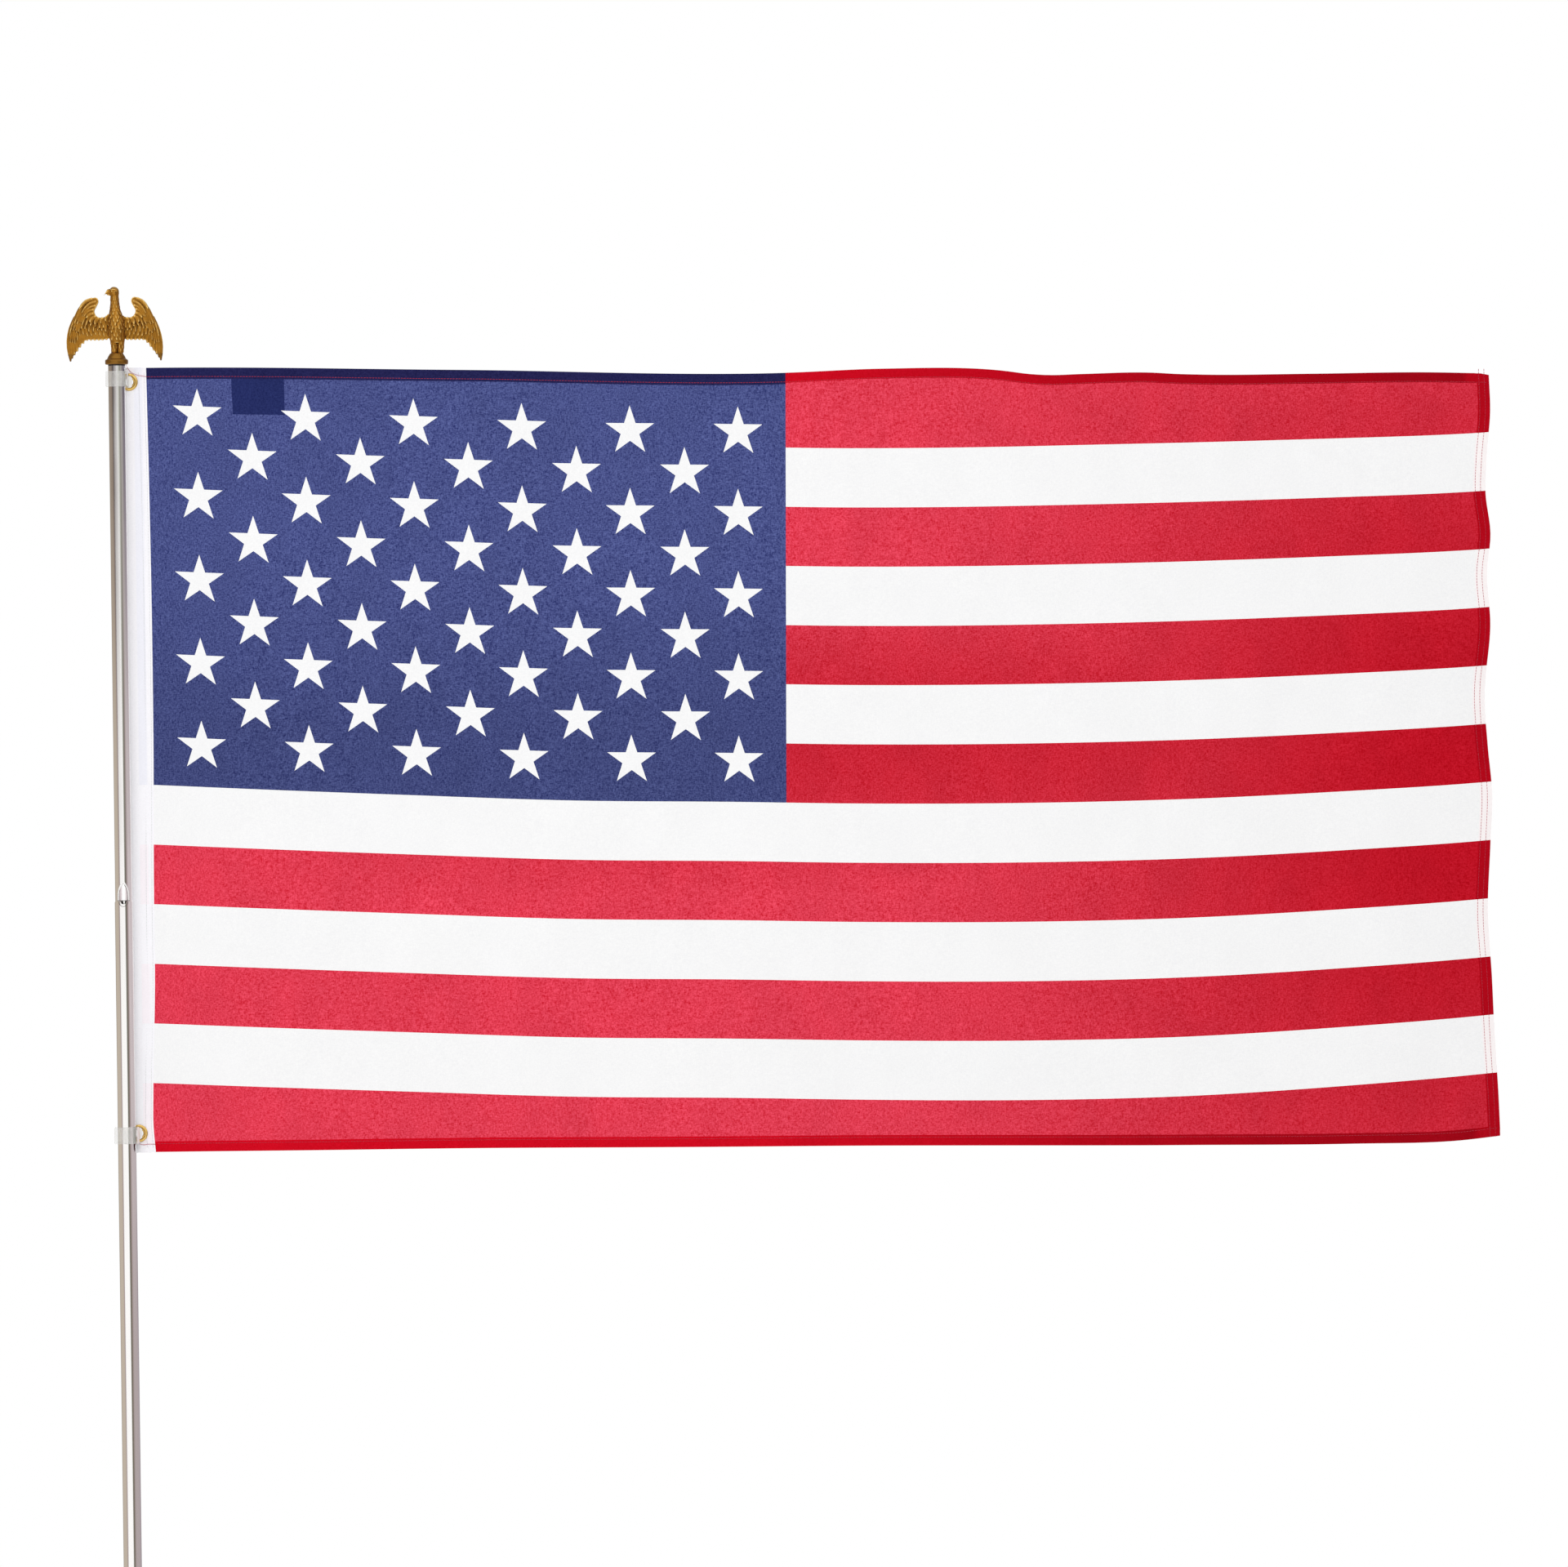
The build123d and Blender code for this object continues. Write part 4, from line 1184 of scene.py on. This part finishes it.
# ---- catch --------------------------------------------------------------------------------------
def catch_tongue(spring_metal):
    """The formed spring tongue with a pinched tip and a rounded back, leaning out of its window."""
    low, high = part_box("catch_tongue")
    tip_z = high.z - 0.2 * MM
    foot_z = low.z + 0.1 * MM
    half = (high.x - low.x) / 2
    outline = through((0.0, 1.0), (0.34, 1.0), (0.6, 0.82), (0.8, 0.55), (0.93, 0.24), (1.0, 0.04))
    rows, columns = 18, 13
    points = []
    for layer in (0, 1):
        for i in range(rows):
            t = i / (rows - 1)
            z = foot_z + (tip_z - foot_z) * t
            lean = (UPPER_TUBE_R + 1.5 * MM) * (1 - t) + (UPPER_TUBE_R - 0.25 * MM) * t
            for j in range(columns):
                s = 2 * j / (columns - 1) - 1
                x = s * half * outline(t)
                crown = 0.5 * MM * (1 - s * s) * (1 - t)
                y = -math.sqrt(max(1e-9, lean ** 2 - x * x)) - crown + layer * 0.7 * MM
                points.append((x, y, z))
    size = rows * columns
    faces = quads(rows, columns)
    faces += [(size + a, size + d, size + c, size + b) for a, b, c, d in faces]
    rim = [j for j in range(columns)] + [i * columns + columns - 1 for i in range(1, rows)]
    rim += [size - 2 - j for j in range(columns - 1)] + [i * columns for i in range(rows - 2, 0, -1)]
    for p, q in zip(rim, rim[1:] + rim[:1]):
        faces.append((p, size + p, size + q, q))
    mesh = mesh_from("formed_catch", points, faces)
    mesh.set_sharp_from_angle(angle=math.radians(40))
    piece = add_object("formed_catch", mesh, "catch", [spring_metal])
    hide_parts("catch_tongue")
    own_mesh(piece)


def tube_bead(name, body, line, half, tube_r, material):
    """A low rounded bead on a tube's front along line, given as (x, height above the lower tube's rim)."""
    points = []
    across = [half * share for share in (-1, -0.7, -0.26, 0.26, 0.7, 1)]
    rise = (-0.5, 0.05, 0.22, 0.22, 0.05, -0.5)
    for i, (x, h) in enumerate(line):
        x0, h0 = line[max(i - 1, 0)]
        x1, h1 = line[min(i + 1, len(line) - 1)]
        run = math.hypot(x1 - x0, h1 - h0)
        for off, proud in zip(across, rise):
            px = x - (h1 - h0) / run * off
            ph = h + (x1 - x0) / run * off
            radius = tube_r + (proud - 0.25) * MM
            points.append((px * MM, -math.sqrt(radius ** 2 - (px * MM) ** 2), RIM_Z + ph * MM))
    width = len(across)
    faces = quads(len(line), width, wrap=True)
    faces += [tuple(range(width))[::-1], tuple(range(len(points) - width, len(points)))]
    add_object(name, mesh_from(name, points, faces), body, [material])


def catch_edges():
    """The edge pressed round the catch's window, painted white as a highlight, and the edge of the notch
    below it, painted dark as a shadow.
    """
    # painted highlight: the pressed edge is near white, for the highlight that runs round it
    bright = plating_with_painted_light("plated_edge_painted_highlight", srgb(252, 251, 250), srgb(252, 251, 250), metallic=0.3)
    half_width = through((0, 5.9), (5, 5.9), (10, 5.45), (15, 4.2), (19, 2.4), (22.4, 0.0))
    climb = [22.4 * math.sin(math.pi / 2 * k / 24) for k in range(25)]
    arch = [(-half_width(h), h + 1.2) for h in climb] + [(half_width(h), h + 1.2) for h in climb[-2::-1]]
    tube_bead("window_rim", "upper_pole", arch, 1.15, UPPER_TUBE_R, bright)
    # painted shadow: the notch's edge is a dark bead, for the shadow along it
    dark = drawn_metal("notch_edge_painted_shadow", srgb(86, 84, 78), 0.3, (900, 900, 900))
    notch = [(-5.2 * math.cos(a), -0.2 - 5.0 * math.sin(a)) for a in np.linspace(0, math.pi, 24)]
    tube_bead("notch_edge", "lower_pole", notch, 0.45, LOWER_TUBE_R, dark)


# ---- camera, light and floor --------------------------------------------------------------------
VIEW_WIDTH = 1.7452              # metres across the picture at the flag
VIEW_DISTANCE = 12.0
VIEW_CENTRE_X = 0.7355
VIEW_CENTRE_DEPTH = 0.4752       # metres below DATUM
VIEW_ROLL = -0.77                # degrees


def add_camera():
    data = bpy.data.cameras.new("camera")
    data.sensor_width = 36.0
    data.lens = 36.0 * VIEW_DISTANCE / VIEW_WIDTH
    camera = link_object("camera", data)
    place = Matrix.Translation((VIEW_CENTRE_X, CLOTH_FRONT - VIEW_DISTANCE, DATUM - VIEW_CENTRE_DEPTH))
    level = Matrix.Rotation(math.radians(90), 4, "X")
    roll = Matrix.Rotation(math.radians(VIEW_ROLL), 4, "Z")
    camera.matrix_world = place @ level @ roll
    bpy.context.scene.camera = camera


def add_softbox(name, place, target, size, power):
    data = bpy.data.lights.new(name, "AREA")
    data.shape = "RECTANGLE"
    data.size, data.size_y = size
    data.energy = power
    light = link_object(name, data)
    aim = Vector(target) - Vector(place)
    light.matrix_world = Matrix.Translation(place) @ aim.to_track_quat("-Z", "Y").to_matrix().to_4x4()
    light.visible_glossy = False
    light.visible_camera = False


def studio_ramp(tree, bearing, stops):
    """Brightness and tint by compass bearing in degrees, 0 towards the camera's side."""
    ramp = add_node(tree, "ValToRGB", {0: bearing})
    elements = ramp.color_ramp.elements
    for index, (degrees, colour) in enumerate(stops):
        position = (degrees + 180) / 360
        element = elements[index] if index < 2 else elements.new(position)
        element.position = position
        element.color = (*colour, 1)
    return ramp.outputs[0]


def add_world():
    """White behind everything, even grey for diffuse light, and a banded studio in reflections."""
    world = bpy.data.worlds.new("studio")
    bpy.context.scene.world = world
    world.use_nodes = True
    tree = world.node_tree
    background = tree.nodes["Background"]
    way = add_node(tree, "SeparateXYZ", {0: add_node(tree, "TexCoord").outputs["Generated"]})
    x, y, z = way.outputs
    bearing = math_node(tree, "ARCTAN2", x, math_node(tree, "MULTIPLY", y, -1.0))
    bearing = remap(tree, bearing, -math.pi, math.pi)
    white, mauve, blush = (1.2, 1.2, 1.2), (0.5, 0.43, 0.44), (0.78, 0.69, 0.71)
    beige, shade = (0.62, 0.54, 0.45), (0.40, 0.35, 0.29)
    left_side = [(-180, shade), (180, (0.3, 0.25, 0.26)), (-150, shade), (-125, beige), (-72, beige),
                 (-63, (0.42, 0.33, 0.32)), (-56, (0.5, 0.42, 0.42)), (-46, white)]
    below = studio_ramp(tree, bearing, left_side + [
        (14, white), (22, (0.2, 0.19, 0.15)), (38, (0.22, 0.18, 0.15)), (44, (0.42, 0.36, 0.34)), (60, mauve),
        (110, mauve), (125, (0.48, 0.42, 0.46))])
    beside = studio_ramp(tree, bearing, left_side + [
        (16, white), (25, (0.2, 0.2, 0.16)), (41, (0.2, 0.16, 0.14)), (54, (0.5, 0.4, 0.41)), (75, blush),
        (110, (0.7, 0.62, 0.65)), (125, blush)])
    above = studio_ramp(tree, bearing, [
        (-180, shade), (180, (0.34, 0.3, 0.36)), (-150, (0.36, 0.31, 0.25)), (-100, (0.3, 0.24, 0.19)),
        (-72, (0.24, 0.18, 0.14)), (-60, (0.08, 0.065, 0.06)), (-46, (0.08, 0.065, 0.06)),
        (-34, (0.3, 0.26, 0.26)), (-12, (0.5, 0.48, 0.48)), (2, (0.76, 0.75, 0.74)), (22, (0.66, 0.67, 0.61)),
        (40, (0.32, 0.32, 0.28)), (59, (0.44, 0.43, 0.41)), (80, (0.2, 0.18, 0.2)), (108, (0.17, 0.15, 0.2)),
        (140, (0.5, 0.46, 0.52))])
    softbox = studio_ramp(tree, bearing, [
        (-180, (0.42, 0.41, 0.4)), (180, (0.42, 0.41, 0.4)), (-75, (0.5, 0.49, 0.47)),
        (-60, white), (60, white), (75, (0.5, 0.48, 0.48))])
    studio = mix_colour(tree, smooth_remap(tree, z, -0.042, -0.03), below, beside)
    studio = mix_colour(tree, smooth_remap(tree, z, -0.003, 0.034), studio, above)
    studio = mix_colour(tree, smooth_remap(tree, z, 0.12, 0.2), studio, softbox)
    studio = mix_colour(tree, smooth_remap(tree, z, -0.25, -0.6), studio, (0.75, 0.74, 0.72, 1))
    rays = add_node(tree, "LightPath").outputs
    seen = mix_colour(tree, rays["Is Glossy Ray"], (0.6, 0.6, 0.6, 1), studio)
    seen = mix_colour(tree, rays["Is Camera Ray"], seen, (1, 1, 1, 1))
    seen = mix_colour(tree, rays["Is Transmission Ray"], seen, (1, 1, 1, 1))
    tree.links.new(seen, background.inputs["Color"])
    background.inputs["Strength"].default_value = 1.0


def add_floor():
    """A pale round floor that fades into the white surround."""
    points, faces = [(0, 0, 0)], []
    radii = (0.5, 1.0, 1.6, 2.2, 2.6)
    segments = 96
    for r in radii:
        for s in range(segments):
            a = 2 * math.pi * s / segments
            points.append((r * math.cos(a), r * math.sin(a), 0))
    for s in range(segments):
        t = (s + 1) % segments
        faces.append((0, 1 + s, 1 + t))
        for ring in range(len(radii) - 1):
            a, b = 1 + ring * segments, 1 + (ring + 1) * segments
            faces.append((a + s, b + s, b + t, a + t))
    mesh = mesh_from("floor", points, faces)
    floor = link_object("floor", mesh)
    floor.location = (0.5, 0, -0.0005)
    material, tree, shader = new_material("pale_floor", roughness=0.6)
    mottle = noise(tree, (3, 3, 3), detail=4.0)
    paint = mix_colour(tree, mottle, (0.78, 0.78, 0.77, 1), (0.82, 0.82, 0.81, 1))
    set_input(tree, shader, "Base Color", paint)
    level = stretched(tree, (1, 1, 0))
    distance = add_node(tree, "VectorMath", {0: level}, operation="LENGTH").outputs["Value"]
    glow = add_node(tree, "Emission", {"Color": (1, 1, 1, 1), "Strength": 1.0})
    blend = add_node(tree, "MixShader", {0: smooth_remap(tree, distance, 1.0, 2.55), 1: shader.outputs[0],
                                         2: glow.outputs[0]})
    tree.links.new(blend.outputs[0], tree.nodes["Material Output"].inputs["Surface"])
    mesh.materials.append(material)


def add_lights():
    middle = (0.75, 0, 1.35)
    add_softbox("key_light", (0.4, -4.6, 3.0), middle, (1.4, 1.4), 76)
    add_softbox("fill_light", (-1.4, -4.2, 1.5), middle, (1.8, 1.8), 25)
    add_softbox("back_light", (0.6, 3.4, 2.8), middle, (2.0, 1.6), 48)


# ---- the whole scene ----------------------------------------------------------------------------
def build():
    bpy.context.scene.view_settings.view_transform = "Standard"
    add_camera()
    add_world()
    add_floor()
    add_lights()
    brass, bright = dress_cad_nodes()
    cloths = make_cloth_materials()
    red_thread = thread_material("red_thread", srgb(196, 26, 62))
    white_thread = thread_material("white_thread", srgb(240, 240, 242))
    field = flag_field(cloths)
    field.visible_glossy = False
    trims = flag_hems(cloths) + flag_stitching(red_thread)
    trims.append(thread_tail("upper_thread_tail", red_thread, [
        (9.6, -0.5, 0.3), (11.7, 4.5, 1.2), (15.9, 8.7, 2.6), (21, 10.8, 1.4), (25.6, 12, 0.8),
        (33.0, 12.9, 0.3)]))
    trims.append(thread_tail("lower_thread_tail", red_thread, [
        (9.5, 863.6, 1.0), (11.9, 865.8, 1.4), (15.5, 867.6, 1.2), (19.3, 867.6, 0.9), (24, 866.9, 0.6),
        (31.5, 867.4, 0.3)]))
    heading = flag_heading(cloths)
    rows = heading_stitching(white_thread)
    label = flag_label(cloths)
    eyelets = [rolled_grommet(place, brass) for place in GROMMET_DEPTHS]
    eagle_finial()
    # painted light on the tongue: a white painted highlight down the middle, a pinkish painted reflection at
    # the sides
    catch_tongue(plating_with_painted_light("plated_spring_painted_light", srgb(254, 253, 252), srgb(214, 200, 202), metallic=0.45))
    catch_edges()


build()
